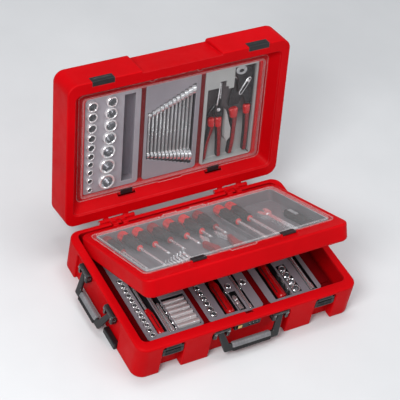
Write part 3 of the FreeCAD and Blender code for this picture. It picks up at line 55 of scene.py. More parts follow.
# ------------------------------------------------------------------ materials
class Mat:
    """A node material built up step by step in object space (metres)."""

    def __init__(self, name):
        self.m = bpy.data.materials.new(name)
        self.m.use_nodes = True
        self.t = self.m.node_tree
        self.t.nodes.clear()
        self.out = self.new("ShaderNodeOutputMaterial")
        self.p = self.new("ShaderNodeBsdfPrincipled")
        self.link(self.p.outputs[0], self.out.inputs[0])
        self.co = self.new("ShaderNodeTexCoord").outputs["Object"]

    def new(self, kind):
        return self.t.nodes.new(kind)

    def link(self, a, b):
        self.t.links.new(a, b)

    def put(self, **values):
        for k, v in values.items():
            self.p.inputs[k.replace("_", " ")].default_value = v

    def noise(self, scale, detail=3.0, rough=0.55, stretch=None):
        n = self.new("ShaderNodeTexNoise")
        n.inputs["Scale"].default_value = scale
        n.inputs["Detail"].default_value = detail
        n.inputs["Roughness"].default_value = rough
        src = self.co
        if stretch is not None:
            mp = self.new("ShaderNodeMapping")
            mp.inputs["Scale"].default_value = stretch
            self.link(src, mp.inputs["Vector"])
            src = mp.outputs[0]
        self.link(src, n.inputs["Vector"])
        return n.outputs["Fac"]

    def span(self, value, a, b, c, d):
        r = self.new("ShaderNodeMapRange")
        for i, x in zip((1, 2, 3, 4), (a, b, c, d)):
            r.inputs[i].default_value = x
        self.link(value, r.inputs[0])
        return r.outputs[0]

    def times(self, a, b):
        n = self.new("ShaderNodeMath")
        n.operation = "MULTIPLY"
        self.link(a, n.inputs[0])
        if isinstance(b, (int, float)):
            n.inputs[1].default_value = b
        else:
            self.link(b, n.inputs[1])
        return n.outputs[0]

    def mix(self, fac, a, b):
        n = self.new("ShaderNodeMix")
        n.data_type = "RGBA"
        self.link(fac, n.inputs[0])
        for sock, v in ((n.inputs[6], a), (n.inputs[7], b)):
            if isinstance(v, tuple):
                sock.default_value = v + (1.0,)
            else:
                self.link(v, sock)
        return n.outputs[2]

    def soft_normal(self, radius):
        n = self.new("ShaderNodeBevel")
        n.samples = 4
        n.inputs["Radius"].default_value = radius
        return n.outputs[0]

    def edges(self, radius, lo=0.80, hi=0.985):
        """1 on convex and concave edges, 0 on flats."""
        g = self.new("ShaderNodeNewGeometry")
        d = self.new("ShaderNodeVectorMath")
        d.operation = "DOT_PRODUCT"
        self.link(self.soft_normal(radius), d.inputs[0])
        self.link(g.outputs["True Normal"], d.inputs[1])
        return self.span(d.outputs["Value"], lo, hi, 1.0, 0.0)

    def below(self, point, normal, start, full):
        """0 above a plane, rising to 1 between 'start' and 'full' metres beneath it."""
        d = self.new("ShaderNodeVectorMath")
        d.operation = "DOT_PRODUCT"
        off = self.new("ShaderNodeVectorMath")
        off.operation = "SUBTRACT"
        off.inputs[1].default_value = point
        self.link(self.co, off.inputs[0])
        self.link(off.outputs[0], d.inputs[0])
        d.inputs[1].default_value = normal
        return self.span(d.outputs["Value"], -start, -full, 0.0, 1.0)

    def bump(self, height, strength, distance, normal=None):
        b = self.new("ShaderNodeBump")
        b.inputs["Strength"].default_value = strength
        b.inputs["Distance"].default_value = distance
        self.link(height, b.inputs["Height"])
        if normal is not None:
            self.link(normal, b.inputs["Normal"])
        return b.outputs[0]

    def done(self, color=None, rough=None, normal=None, alpha=None):
        if color is not None:
            self.link(color, self.p.inputs["Base Color"])
        if rough is not None:
            self.link(rough, self.p.inputs["Roughness"])
        if normal is not None:
            self.link(normal, self.p.inputs["Normal"])
        if alpha is not None:
            self.link(alpha, self.p.inputs["Alpha"])
        return self.m


def plastic(name, light, dark, edge, rough=(0.34, 0.48), grain=1500, bump=0.12, round_r=0.0009,
            edge_gain=0.5, broad=9, spec=0.5, coat=0.0, worn=0.0, painted_shade=None, also=()):
    k = Mat(name)
    tint = k.span(k.noise(broad, 4.0), 0.32, 0.68, 0.0, 1.0)
    color = k.mix(tint, dark, light)
    # paler edge colour, partly rubbed wear and partly a painted highlight along every edge
    edge_wear_and_highlight = k.times(k.span(k.noise(70, 4.0), 0.30, 0.62, 0.25, 1.0), edge_gain)
    color = k.mix(k.times(k.edges(max(round_r * 2.0, 0.001)), edge_wear_and_highlight), color, edge)
    fine = k.noise(grain, 2.0)
    if worn:
        scuff = k.span(k.noise(26, 6.0, 0.7, (1.0, 1.0, 5.0)), 0.60, 0.78, 0.0, worn)
        color = k.mix(scuff, color, edge)
    # painted shade: the colour darkens towards the given tone beneath a plane, kept inside any further planes, for
    # wells, pockets and recesses
    if painted_shade:
        deep = k.below(*painted_shade[:4])
        for plane in also:
            deep = k.times(deep, k.below(*plane))
        color = k.mix(deep, color, painted_shade[4])
    k.put(Specular_IOR_Level=spec, Coat_Weight=coat, Coat_Roughness=0.18)
    return k.done(color, k.span(k.noise(38, 4.0), 0.3, 0.7, rough[0], rough[1]),
                  k.bump(fine, bump, 0.0004, k.soft_normal(round_r)))


def metal(name, light, dark, rough=(0.07, 0.20), grain=700, stretch=(1.0, 1.0, 1.0), round_r=0.0005, bump=0.05, edge=(0.9, 0.9, 0.91), edge_gain=0.5, pure=1.0):
    k = Mat(name)
    k.put(Metallic=pure)
    tint = k.span(k.noise(60, 4.0), 0.3, 0.7, 0.0, 1.0)
    color = k.mix(tint, dark, light)
    # lighter edges: a painted highlight along every edge
    color = k.mix(k.times(k.edges(max(round_r * 2, 0.0008)), edge_gain), color, edge)
    lines = k.noise(grain, 3.0, 0.6, stretch)
    return k.done(color, k.span(lines, 0.3, 0.7, rough[0], rough[1]), k.bump(lines, bump, 0.0002, k.soft_normal(round_r)))


def clear(name, tone, base_alpha, rim_highlight_alpha):
    """Clear sheet: nearly see-through, with painted highlights as whitish rims, a painted reflection that whitens it at
    grazing angles, and slight haze.
    """
    k = Mat(name)
    k.put(Specular_IOR_Level=0.7)
    # painted highlight: whitish, more opaque rims along the sheet's edges
    rim_highlight = k.edges(0.0022, 0.55, 0.97)
    haze = k.span(k.noise(16, 5.0, 0.6), 0.35, 0.75, base_alpha * 0.6, base_alpha * 1.5)
    # painted reflection: the whitish sheet grows more opaque towards grazing angles
    lw = k.new("ShaderNodeLayerWeight")
    lw.inputs["Blend"].default_value = 0.25
    add = k.new("ShaderNodeMath")
    add.operation = "ADD"
    add.use_clamp = True
    k.link(haze, add.inputs[0])
    k.link(k.times(rim_highlight, rim_highlight_alpha), add.inputs[1])
    add2 = k.new("ShaderNodeMath")
    add2.operation = "ADD"
    add2.use_clamp = True
    k.link(add.outputs[0], add2.inputs[0])
    k.link(k.times(lw.outputs["Fresnel"], 0.10), add2.inputs[1])
    color = k.mix(k.span(k.noise(30, 3.0), 0.3, 0.7, 0.0, 1.0), tuple(c * 0.92 for c in tone), tone)
    k.done(color, k.span(k.noise(50, 3.0), 0.3, 0.7, 0.05, 0.14), k.bump(k.noise(22, 2.0), 0.10, 0.001, k.soft_normal(0.0005)), add2.outputs[0])
    return k.m


# planes in the open lid that bound the painted shade in its wells and pockets
UP = (0.0, 0.0, 1.0)
LID_IN = tuple((Matrix.Rotation(math.radians(LID_OPEN), 4, Vector((-1, 0, 0))) @ Vector((0, 0, -1))))
DECK = tuple(LID @ Vector((0, 0, 133.1)))
SHELF = tuple(LID @ Vector((0, 0, 120)))
LID_DOWN = tuple((Matrix.Rotation(math.radians(LID_OPEN), 4, Vector((-1, 0, 0))) @ Vector((0, 1, 0))))
LID_UP = tuple(-c for c in LID_DOWN)
HEADS = tuple(LID @ Vector((0, 199 - 140, 133)))
RED = plastic("satin_red", (0.53, 0.0006, 0.0034), (0.45, 0.0005, 0.0026), (0.72, 0.06, 0.07), (0.40, 0.54), 1300, 0.16, 0.0016, 0.40, 7, 0.05)
# a darker copy of the shell red as painted shade inside the base, darkening further below 50 mm
RED_BASE = plastic("satin_red_base_liner", (0.44, 0.0006, 0.0030), (0.37, 0.0005, 0.0024), (0.68, 0.06, 0.07), (0.42, 0.56), 1300, 0.14, 0.0014, 0.4, 8, 0.05, 0.0, 0.0,
                    ((0.0, 0.0, 0.050), UP, 0.0, 0.014, (0.150, 0.0008, 0.0026)))
# painted shade: darker below the shelf in the middle of the lid's well
RED_LID = plastic("satin_red_lid_liner", (0.50, 0.0006, 0.0034), (0.43, 0.0005, 0.0026), (0.72, 0.07, 0.08), (0.42, 0.56), 1300, 0.14, 0.0014, 0.4, 8, 0.05, 0.0, 0.0,
                   (SHELF, LID_IN, 0.0, 0.0068, (0.135, 0.0010, 0.0026)),
                   (((0.122, 0, 0), (1, 0, 0), 0.0, 0.012), ((-0.122, 0, 0), (-1, 0, 0), 0.0, 0.012),
                    (tuple(LID @ Vector((0, -129, 120))), LID_UP, 0.0, 0.006), (tuple(LID @ Vector((0, 137, 120))), LID_DOWN, 0.0, 0.006)))
# painted shade: darker in the tray pockets below 36.5 mm
GREY = plastic("tray_grey", (0.268, 0.246, 0.277), (0.210, 0.192, 0.219), (0.52, 0.49, 0.54), (0.42, 0.58), 1800, 0.16, 0.0010, 0.6, 10, 0.4, 0.0, 0.0,
                ((0.0, 0.0, 0.0365), UP, 0.0035, 0.006, (0.012, 0.011, 0.013)))
GREY_MID = plastic("tray_grey_middle", (0.135, 0.125, 0.138), (0.095, 0.088, 0.098), (0.34, 0.32, 0.35), (0.42, 0.58), 1800, 0.16, 0.0010, 0.6, 10, 0.4)
# painted shade: darker in the pockets below the lid deck
GREY_LID = plastic("tray_grey_lid", (0.285, 0.264, 0.290), (0.230, 0.214, 0.240), (0.55, 0.52, 0.57), (0.42, 0.58), 1800, 0.16, 0.0010, 0.6, 10, 0.4, 0.0, 0.0,
                    (DECK, LID_IN, 0.004, 0.012, (0.10, 0.085, 0.105)))
# painted shade: much darker deep in the bin below the lid deck
GREY_BIN = plastic("tray_grey_bin", (0.340, 0.315, 0.345), (0.275, 0.255, 0.285), (0.55, 0.52, 0.57), (0.42, 0.58), 1800, 0.16, 0.0010, 0.6, 10, 0.4, 0.0, 0.0,
                    (DECK, LID_IN, 0.004, 0.034, (0.22, 0.19, 0.23)))
# painted shade: dark in the pockets below the deck around the pliers heads
PALE = plastic("tray_pale", (0.39, 0.40, 0.395), (0.33, 0.34, 0.335), (0.58, 0.59, 0.59), (0.42, 0.58), 1800, 0.16, 0.0010, 0.6, 10, 0.4, 0.0, 0.0,
                (DECK, LID_IN, 0.003, 0.012, (0.060, 0.048, 0.052)), ((HEADS, LID_DOWN, 0.0, 0.045),))
BLACK = plastic("moulded_black", (0.010, 0.010, 0.011), (0.005, 0.005, 0.006), (0.13, 0.13, 0.14), (0.30, 0.46), 1600, 0.16, 0.0008, 0.5, 18, 0.45)
# its pale grey edge colour is a painted highlight on the frame's rims
BOW = plastic("handle_black", (0.012, 0.012, 0.013), (0.006, 0.006, 0.007), (0.42, 0.40, 0.40), (0.28, 0.42), 1600, 0.14, 0.0015, 1.0, 18, 0.5)
RUBBER = plastic("soft_grip_black", (0.014, 0.013, 0.014), (0.008, 0.008, 0.009), (0.08, 0.08, 0.085), (0.52, 0.70), 2200, 0.30, 0.0008, 0.4, 30, 0.30)
GRIPGREY = plastic("soft_grip_grey", (0.20, 0.195, 0.205), (0.14, 0.137, 0.145), (0.55, 0.55, 0.57), (0.45, 0.62), 2200, 0.28, 0.0016, 0.9, 30, 0.4)
REDGRIP = plastic("grip_red", (0.56, 0.003, 0.006), (0.42, 0.002, 0.004), (0.85, 0.25, 0.22), (0.22, 0.36), 1500, 0.08, 0.0007, 0.4, 25, 0.5, 0.25)
DARKRED = plastic("grip_dark_red", (0.24, 0.003, 0.006), (0.15, 0.002, 0.004), (0.50, 0.08, 0.08), (0.30, 0.44), 1500, 0.12, 0.0007, 0.4, 25, 0.5)
CHROME = metal("bright_chrome", (0.94, 0.945, 0.955), (0.84, 0.85, 0.87), (0.10, 0.24), 420, (1.0, 1.0, 1.0), 0.0005, 0.04, (0.97, 0.97, 0.97), 0.6, 0.80)
# a whiter, less metallic copy of the chrome: painted highlight for the brightest sockets
BRIGHT = metal("chrome_painted_bright", (0.97, 0.97, 0.975), (0.90, 0.90, 0.91), (0.14, 0.26), 420, (1.0, 1.0, 1.0), 0.0005, 0.04, (0.98, 0.98, 0.98), 0.6, 0.62)
SATIN = metal("satin_chrome", (0.88, 0.885, 0.90), (0.74, 0.75, 0.77), (0.18, 0.32), 900, (1.0, 0.12, 1.0), 0.0004, 0.08, (0.95, 0.95, 0.95), 0.6, 0.82)
STEEL = metal("plain_steel", (0.50, 0.50, 0.51), (0.38, 0.38, 0.39), (0.22, 0.38), 900, (0.15, 1.0, 1.0), 0.0003, 0.08)
OXIDE = metal("black_oxide", (0.045, 0.043, 0.046), (0.020, 0.020, 0.022), (0.28, 0.44), 900, (1.0, 1.0, 0.3), 0.0007, 0.10, (0.36, 0.35, 0.36), 0.7, 0.9)
BRASS = metal("brass", (0.80, 0.56, 0.22), (0.66, 0.44, 0.15), (0.16, 0.30), 900, (0.2, 1.0, 1.0), 0.0006, 0.08, (0.95, 0.78, 0.45), 0.6)
BORE = metal("bore_shadow", (0.55, 0.55, 0.57), (0.36, 0.36, 0.38), (0.20, 0.34), 700, (1.0, 1.0, 1.0), 0.0003, 0.05, (0.8, 0.8, 0.8), 0.4, 0.9)
CLEAR_MID = clear("clear_sheet_mid", (0.92, 0.92, 0.93), 0.020, 0.86)
CLEAR_LID = clear("clear_sheet_lid", (0.92, 0.92, 0.93), 0.012, 0.58)
INK = plastic("digit_white", (0.80, 0.80, 0.78), (0.70, 0.70, 0.68), (0.85, 0.85, 0.85), (0.40, 0.55), 1500, 0.05, 0.0001, 0.2, 40, 0.4)

LOOK = {
    RED: ("base_shell", "mid_tray_shell", "lid_shell"),
    RED_BASE: ("base_liner",),
    RED_LID: ("lid_liner",),
    GREY: ("base_tray_left", "base_tray_middle", "base_tray_right"),
    GREY_MID: ("mid_insert",),
    GREY_LID: ("lid_tray_middle",),
    GREY_BIN: ("lid_tray_left",),
    PALE: ("lid_tray_right",),
    CHROME: ("base_small_sockets", "base_deep_sockets", "base_medium_sockets", "base_bars_and_adaptors", "ratchet_small_head",
             "ratchet_large_head", "lid_sockets", "combination_spanners"),
    SATIN: ("hex_keys", "spinner_shaft", "screwdriver_blades", "adjustable_spanner", "snips_heads"),
    REDGRIP: ("spinner_grip", "ratchet_small_grip", "ratchet_large_grip", "screwdriver_grips", "hex_key_holder"),
    DARKRED: ("snips_handles", "pliers_sleeves"),
    BOW: ("front_handle_frame", "side_handle_frame", "front_handle_brackets", "side_handle_brackets"),
    BLACK: ("latch_left_lever",
            "latch_left_claw", "latch_right_lever", "latch_right_claw", "lid_keepers", "mid_clip_left", "mid_clip_right",
            "lid_clip_left", "lid_clip_right", "lock_housing", "lock_wheel_left", "lock_wheel_middle", "lock_wheel_right", "side_skid"),
    RUBBER: ("utility_knife",),
    GRIPGREY: ("front_handle_grip", "side_handle_grip"),
    STEEL: ("steel_pins", "bracket_screws"),
    OXIDE: ("long_nose_pliers", "pump_pliers"),
    BRASS: ("lock_button",),
    CLEAR_MID: ("mid_cover",),
    CLEAR_LID: ("lid_cover",),
}
for material, names in LOOK.items():
    for n in names:
        ob = NODES[n]
        ob.data.materials.clear()
        ob.data.materials.append(material)


# ------------------------------------------------------------------ mesh helpers
class Build:
    """Collects vertices and faces with a material per face."""

    def __init__(self):
        self.v, self.f, self.i, self.mats = [], [], [], []

    def mat(self, m):
        if m not in self.mats:
            self.mats.append(m)
        return self.mats.index(m)

    def add(self, verts, faces, material):
        o = len(self.v)
        self.v += verts
        for k, f in enumerate(faces):
            self.f.append([o + a for a in f])
            self.i.append(self.mat(material[k] if isinstance(material, list) else material))

    def finish(self, name, body, matrix, stands_for=(), angle=38):
        me = bpy.data.meshes.new(name)
        me.from_pydata([matrix @ Vector(p) for p in self.v], [], self.f)
        for m in self.mats:
            me.materials.append(m)
        for p, k in zip(me.polygons, self.i):
            p.material_index = k
        me.validate()
        me.update()
        me.shade_smooth()
        me.set_sharp_from_angle(angle=math.radians(angle))
        ob = bpy.data.objects.new(name, me)
        bpy.context.scene.collection.objects.link(ob)
        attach(ob, body)
        if stands_for:
            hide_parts(*stands_for)
        return ob


def frame_of(axis):
    """Two directions across a unit axis, right handed."""
    axis = Vector(axis).normalized()
    side = Vector((0, 0, 1)) if abs(axis.z) < 0.9 else Vector((1, 0, 0))
    u = side.cross(axis).normalized()
    return u, axis.cross(u).normalized(), axis


def radius_at(r, a):
    return r(a) if callable(r) else r


def stack(b, origin, axis, rings, material, n=36, turn=0.0, pick=None):
    """Closed body of rings (distance along the axis, radius or radius by angle)."""
    u, w, k = frame_of(axis)
    o = Vector(origin)
    verts, faces, mats = [], [], []
    for t, r in rings:
        for j in range(n):
            a = 2 * math.pi * j / n
            q = radius_at(r, a)
            verts.append(o + k * t + u * (q * math.cos(a + turn)) + w * (q * math.sin(a + turn)))
    for i in range(len(rings) - 1):
        for j in range(n):
            faces.append([i * n + j, i * n + (j + 1) % n, (i + 1) * n + (j + 1) % n, (i + 1) * n + j])
            mats.append(pick(i, (j + 0.5) / n) if pick else material)
    faces.append(list(range(n))[::-1])
    mats.append(pick(0, 0.0) if pick else material)
    last = (len(rings) - 1) * n
    faces.append([last + j for j in range(n)])
    mats.append(pick(len(rings) - 2, 0.0) if pick else material)
    b.add(verts, faces, mats)


def six(apothem):
    return lambda a: apothem / math.cos(((a + math.pi / 6) % (math.pi / 3)) - math.pi / 6)


def twelve(apothem):
    """Double-hexagon bore: the outer envelope of two hexagons."""
    h = six(apothem)
    return lambda a: max(h(a), h(a + math.pi / 6)) * 0.985


def square(half):
    return lambda a: min(half / max(abs(math.cos(a)), abs(math.sin(a)), 1e-6), half * 1.34)


def socket(b, origin, axis, r, length, bore, drive, turn=0.0, deep=0.5, twelve_point=False, band=True, skin=CHROME):
    """Socket with its mouth at the far end of the axis."""
    g = max(0.35, 0.05 * r)
    c = min(1.0, 0.11 * r)
    mouth = twelve(bore) if twelve_point else six(bore)
    rings = [(0.42 * length, square(drive)), (0.7, square(drive)), (0.0, drive * 1.30 + 0.35), (0.0, r - c), (c, r)]
    if band:
        rings += [(0.26 * length, r), (0.26 * length + 0.4, r - g), (0.33 * length, r - g), (0.33 * length + 0.4, r)]
    rings += [(length - c, r), (length, r - c), (length, bore * 1.16 + 0.35), (length - 1.4, mouth), (length * (1 - deep), mouth)]
    last = len(rings) - 2
    stack(b, origin, axis, rings, skin, 36, turn, lambda i, a: BORE if i == 0 or i >= last else skin)


def spots(a, b, n):
    return [a + (b - a) * i / (n - 1.0) for i in range(n)]


def spline(points, closed=False, per=6):
    """Smooth run of points through the given ones."""
    p = [Vector(q) for q in points]
    n = len(p)
    out = []
    last = n if closed else n - 1
    for i in range(last):
        p0 = p[(i - 1) % n] if closed or i > 0 else p[0] * 2 - p[1]
        p1, p2 = p[i], p[(i + 1) % n]
        p3 = p[(i + 2) % n] if closed or i + 2 < n else p[-1] * 2 - p[-2]
        for k in range(per):
            t = k / per
            out.append(0.5 * ((2 * p1) + (p2 - p0) * t + (2 * p0 - 5 * p1 + 4 * p2 - p3) * t * t + (3 * p1 - p0 - 3 * p2 + p3) * t ** 3))
    if not closed:
        out.append(p[-1])
    return out


def sweep(b, path, sizes, up, material, n=20, pick=None, power=2.0):
    """Rounded bar along a path; sizes are (half width, half height) per path point."""
    verts, faces, mats = [], [], []
    up = Vector(up)
    m = len(path)
    for i, p in enumerate(path):
        d = (path[min(i + 1, m - 1)] - path[max(i - 1, 0)]).normalized()
        s = d.cross(up).normalized()
        h = s.cross(d).normalized()
        rw, rh = sizes[i]
        for j in range(n):
            a = 2 * math.pi * j / n
            ca, sa = math.cos(a), math.sin(a)
            e = 2.0 / power
            verts.append(p + s * (rw * math.copysign(abs(ca) ** e, ca)) + h * (rh * math.copysign(abs(sa) ** e, sa)))
    for i in range(m - 1):
        for j in range(n):
            faces.append([i * n + j, i * n + (j + 1) % n, (i + 1) * n + (j + 1) % n, (i + 1) * n + j])
            mats.append(pick(i / (m - 1.0), (j + 0.5) / n) if pick else material)
    faces.append(list(range(n))[::-1])
    mats.append(pick(0.0, 0.0) if pick else material)
    faces.append([(m - 1) * n + j for j in range(n)])
    mats.append(pick(1.0, 0.0) if pick else material)
    b.add(verts, faces, mats)


def plate(b, outline, z0, z1, chamfer, material):
    """Flat piece from an outline in the XY plane with chamfered rims."""
    pts = [Vector((x, y, 0)) for x, y in outline]
    area = sum(p.x * q.y - q.x * p.y for p, q in zip(pts, pts[1:] + pts[:1]))
    if area < 0:
        pts.reverse()
    n = len(pts)
    inner = []
    for i in range(n):
        d = (pts[(i + 1) % n] - pts[i - 1]).normalized()
        inner.append(pts[i] + Vector((-d.y, d.x, 0)) * chamfer)
    verts = []
    for ring, z in ((inner, z0), (pts, z0 + chamfer), (pts, z1 - chamfer), (inner, z1)):
        verts += [Vector((p.x, p.y, z)) for p in ring]
    faces = []
    for i in range(3):
        for j in range(n):
            faces.append([i * n + j, i * n + (j + 1) % n, (i + 1) * n + (j + 1) % n, (i + 1) * n + j])
    faces.append(list(range(n))[::-1])
    faces.append([3 * n + j for j in range(n)])
    b.add(verts, faces, material)


def smooth2(points, per=6):
    return [(p.x, p.y) for p in spline([(x, y, 0) for x, y in points], True, per)]


# ------------------------------------------------------------------ sockets
FLOOR = 14.0
b = Build()
for y, r in zip(spots(58, -119, 12), spots(7.3, 6.9, 12)):
    socket(b, (-222, y, FLOOR), (0, 0, 1), r, 25, r * 0.66, r * 0.36, 0.3 * y, skin=BRIGHT)
b.finish("small_sockets", "base", LEFT, ("base_small_sockets",))

b = Build()
for y, r in zip([-34.5, -48.5, -63, -78.5, -95, -112.5], [6.2, 6.6, 7.2, 7.9, 8.4, 8.8]):
    socket(b, (-94, y, 20.2 + r), (-1, 0, 0), r, 60, r * 0.66, 2.4, 0.1 * y, skin=BRIGHT)
b.finish("deep_sockets", "base", LEFT, ("base_deep_sockets",))

b = Build()
for y, r in zip(spots(-26, -113, 6), [7.6, 7.7, 7.8, 7.9, 8.0, 8.0]):
    socket(b, (-56, y, FLOOR), (0, 0, 1), r, 25, r * 0.66, r * 0.36, 0.2 * y)
for y, r in zip(spots(0, 112, 6), [8.2, 8.6, 9.0, 9.4, 9.9, 10.4]):
    socket(b, (-55, y, FLOOR), (0, 0, 1), r, 25, r * 0.66, r * 0.36, 0.2 * y)
b.finish("medium_sockets", "base", MIDDLE, ("base_medium_sockets",))

b = Build()
for xs, ss, rs in (([-219.5, -219.5, -219.8, -220.2, -220.6, -221.2, -221.8, -221.8, -222.0, -222.0],
                    [309.6, 280.5, 249.7, 221.7, 194.9, 170.8, 147.9, 124.5, 99.9, 74.5], [13.7, 13.0, 12.5, 11.2, 10.5, 9.5, 8.5, 8.0, 7.5, 7.0]),
                   ([-168.6, -169.5, -170.0, -171.5, -174.5, -175.5, -175.5],
                    [312.0, 280.0, 246.0, 211.0, 173.5, 131.5, 86.5], [14.0, 15.6, 16.4, 17.0, 18.6, 20.2, 21.0])):
    for x, s, r in zip(xs, ss, rs):
        socket(b, (x, 199 - s, 168.1), (0, 0, -1), r, 43.6, r * 0.68, r * 0.36, 0.15 * s, 0.45, True, False, BRIGHT)
b.finish("lid_socket_rows", "lid", LID, ("lid_sockets",))


# bars, joint and large sockets
def knurl(r, amp, count):
    return lambda a: r + amp * math.cos(count * a)


b = Build()
BARS = [(-174.5 + DL, -117, 150, 4.6, 28.6, 5.0, 28.6, 16, 3.0), (-164.5 + DL, -117, 78, 4.4, 28.4, 4.8, 28.4, 16, 3.0),
        (43.5 + DM, -122, 150, 4.8, 28.8, 6.0, 28.8, 16, 3.4), (216.5 + DR, -122, 210, 6.2, 28.2, 8.0, 28.2, 20, 4.4)]
for x, y0, length, r, z, hr, hz, hl, sq in BARS:
    stack(b, (x, y0 + 8, z), (0, 1, 0), [(0, r - 0.6), (0.6, r), (length - 12, r), (length - 10, r - 0.8), (length - 8, r - 0.8)], CHROME, 28)
    stack(b, (x, y0 - 4, hz), (0, 1, 0), [(5, square(sq * 0.8)), (0.6, square(sq * 0.8)), (0, sq * 1.25), (0, hr - 0.7), (0.8, hr), (4.5, hr), (5, knurl(hr, 0.25, 12)),
                                          (hl - 5, knurl(hr, 0.25, 12)), (hl - 4.4, hr), (hl - 1, hr), (hl, r)], CHROME, 48,
          0.0, lambda i, a: BORE if i == 0 else CHROME)
    stack(b, (x, y0 + length - 1, z), (0, 1, 0), [(0, square(sq)), (9.0, square(sq)), (10.0, square(sq - 0.7))], CHROME, 32)
stack(b, (20 + DM, -121, 30.1), (0, 1, 0), [(6, square(2.6)), (0.5, square(2.6)), (0, 4.0), (0, 5.9), (0.8, 6.6), (16, 6.6), (17, 6.0)], CHROME, 32, 0.0, lambda i, a: BORE if i == 0 else CHROME)
stack(b, (20 + DM, -106, 30.0), (0, 1, 0), [(0, 4.4), (3, 4.9), (6, 6.2), (9, 6.5), (12, 6.2), (15, 4.9), (17, 4.4)], SATIN, 28)
stack(b, (20 + DM, -91, 30.1), (0, 1, 0), [(0, 5.9), (0.8, 6.6), (10, 6.6), (11, 5.6), (13, 4.6), (15, 4.4)], CHROME, 32)
for s in (-1, 1):
    stack(b, (20 + DM + s * 3.2, -97, 30.0), (s, 0, 0), [(0, 2.0), (3.2, 2.0), (3.6, 1.5)], STEEL, 20)
socket(b, (20 + DM, -47, FLOOR), (0, 0, 1), 8.4, 25, 5.4, 3.1)
socket(b, (60.4 + DM, -48, FLOOR), (0, 0, 1), 9.2, 25, 6.0, 3.3)
for y, r in zip([-44, -66, -89, -112.2], [9.6, 10.2, 10.8, 11.2]):
    socket(b, (173 + DR, y, FLOOR), (0, 0, 1), r, 25, r * 0.66, r * 0.36, 0.2 * y)
for y in spots(10, 120, 5):
    socket(b, (174 + DR, y, FLOOR), (0, 0, 1), 11.4, 25, 7.6, 4.1, 0.2 * y)
b.finish("bars_and_adaptors", "base", BASE, ("base_bars_and_adaptors",))


# ------------------------------------------------------------------ tool grips
def grip(b, origin, axis, rings, lobes, depth, soft, n=48, hard=REDGRIP, inlay=RUBBER, share=-0.1):
    """Lobed handle; rings (distance, radius, lobe share); soft = (from, to) share of length with inlays."""
    end = rings[-1][0]

    def shape(r, share):
        return lambda a: r * (1.0 - depth * share * (0.5 - 0.5 * math.cos(lobes * a)))

    stations = []
    for (t0, r0, s0), (t1, r1, s1) in zip(rings, rings[1:]):
        steps = max(1, int((t1 - t0) / 4.0))
        for k in range(steps):
            f = k / steps
            f = f * f * (3 - 2 * f)
            stations.append((t0 + (t1 - t0) * k / steps, shape(r0 + (r1 - r0) * f, s0 + (s1 - s0) * f)))
    stations.append((end, shape(rings[-1][1], rings[-1][2])))

    def pick(i, a):
        t = stations[i][0] / end
        if not soft[0] <= t <= soft[1]:
            return hard
        return inlay if math.cos(lobes * 2 * math.pi * a) < share else hard

    stack(b, origin, axis, stations, hard, n, 0.0, pick)


b = Build()
grip(b, (-196, -119.5, 25), (0, 1, 0), [(0, 5.5, 0), (2, 8.6, 0), (6, 10.6, 0.2), (12, 11, 1), (56, 11, 1), (64, 10.4, 0.3), (70, 9.2, 0), (78, 7.6, 0), (81.5, 7.0, 0)], 6, 0.12, (0.15, 0.72), share=-0.86)
b.finish("spinner_handle", "base", LEFT, ("spinner_grip",))
for name, x, y_end, length, gr, rod, z, where in (("small", -8, -112, 92, 11.2, 4.6, 26.0, MIDDLE), ("large", 133, -113, 104, 12.0, 5.8, 26.6, RIGHT)):
    b = Build()
    lead = gr * 0.97 - 1.5
    L = length + 10 + lead
    grip(b, (x, y_end - lead, z), (0, 1, 0),
         [(0, gr * 0.5, 0), (2, gr * 0.8, 0), (6, gr * 0.97, 0.2), (14, gr, 1), (L * 0.45, gr * 0.95, 1), (L * 0.62, gr * 0.88, 1), (L * 0.80, gr, 0.4), (L * 0.88, gr * 0.9, 0), (L, rod + 1.2, 0)],
         5, 0.10, (0.12, 0.80), share=-0.86)
    b.finish("ratchet_%s_handle" % name, "base", where, ("ratchet_%s_grip" % name,))

b = Build()
DRIVERS = [(-222, 13.5, 92), (-180, 14.4, 98), (-140, 14.5, 100), (-99, 14.5, 100), (-55, 14.5, 102), (-12, 14.5, 100), (28, 14.5, 98), (88, 14.5, 104), (121, 14.5, 104)]
for i, (x, r, length) in enumerate(DRIVERS):
    grip(b, (x, 147, 56 + r), (0, -1, 0),
         [(0, r * 0.72, 0), (2, r * 0.92, 0), (6, r, 0.4), (14, r, 1), (length * 0.55, r * 0.98, 1), (length * 0.72, r * 0.84, 0.6), (length * 0.80, r * 0.66, 0.1), (length * 0.90, r * 0.76, 0), (length, r * 0.56, 0)],
         6, 0.17, (0.27, 1.0), 48, REDGRIP if i % 3 else DARKRED, RUBBER, 0.95)
b.finish("screwdriver_handles", "mid_tray", MID, ("screwdriver_grips",))

# ------------------------------------------------------------------ pliers in the lid
def on_lid(x, s):
    return (x, 199.0 - s)


def widths(values, count):
    out = []
    for i in range(count):
        t = i / (count - 1.0) * (len(values) - 1)
        k = min(int(t), len(values) - 2)
        out.append(values[k] + (values[k + 1] - values[k]) * (t - k))
    return out


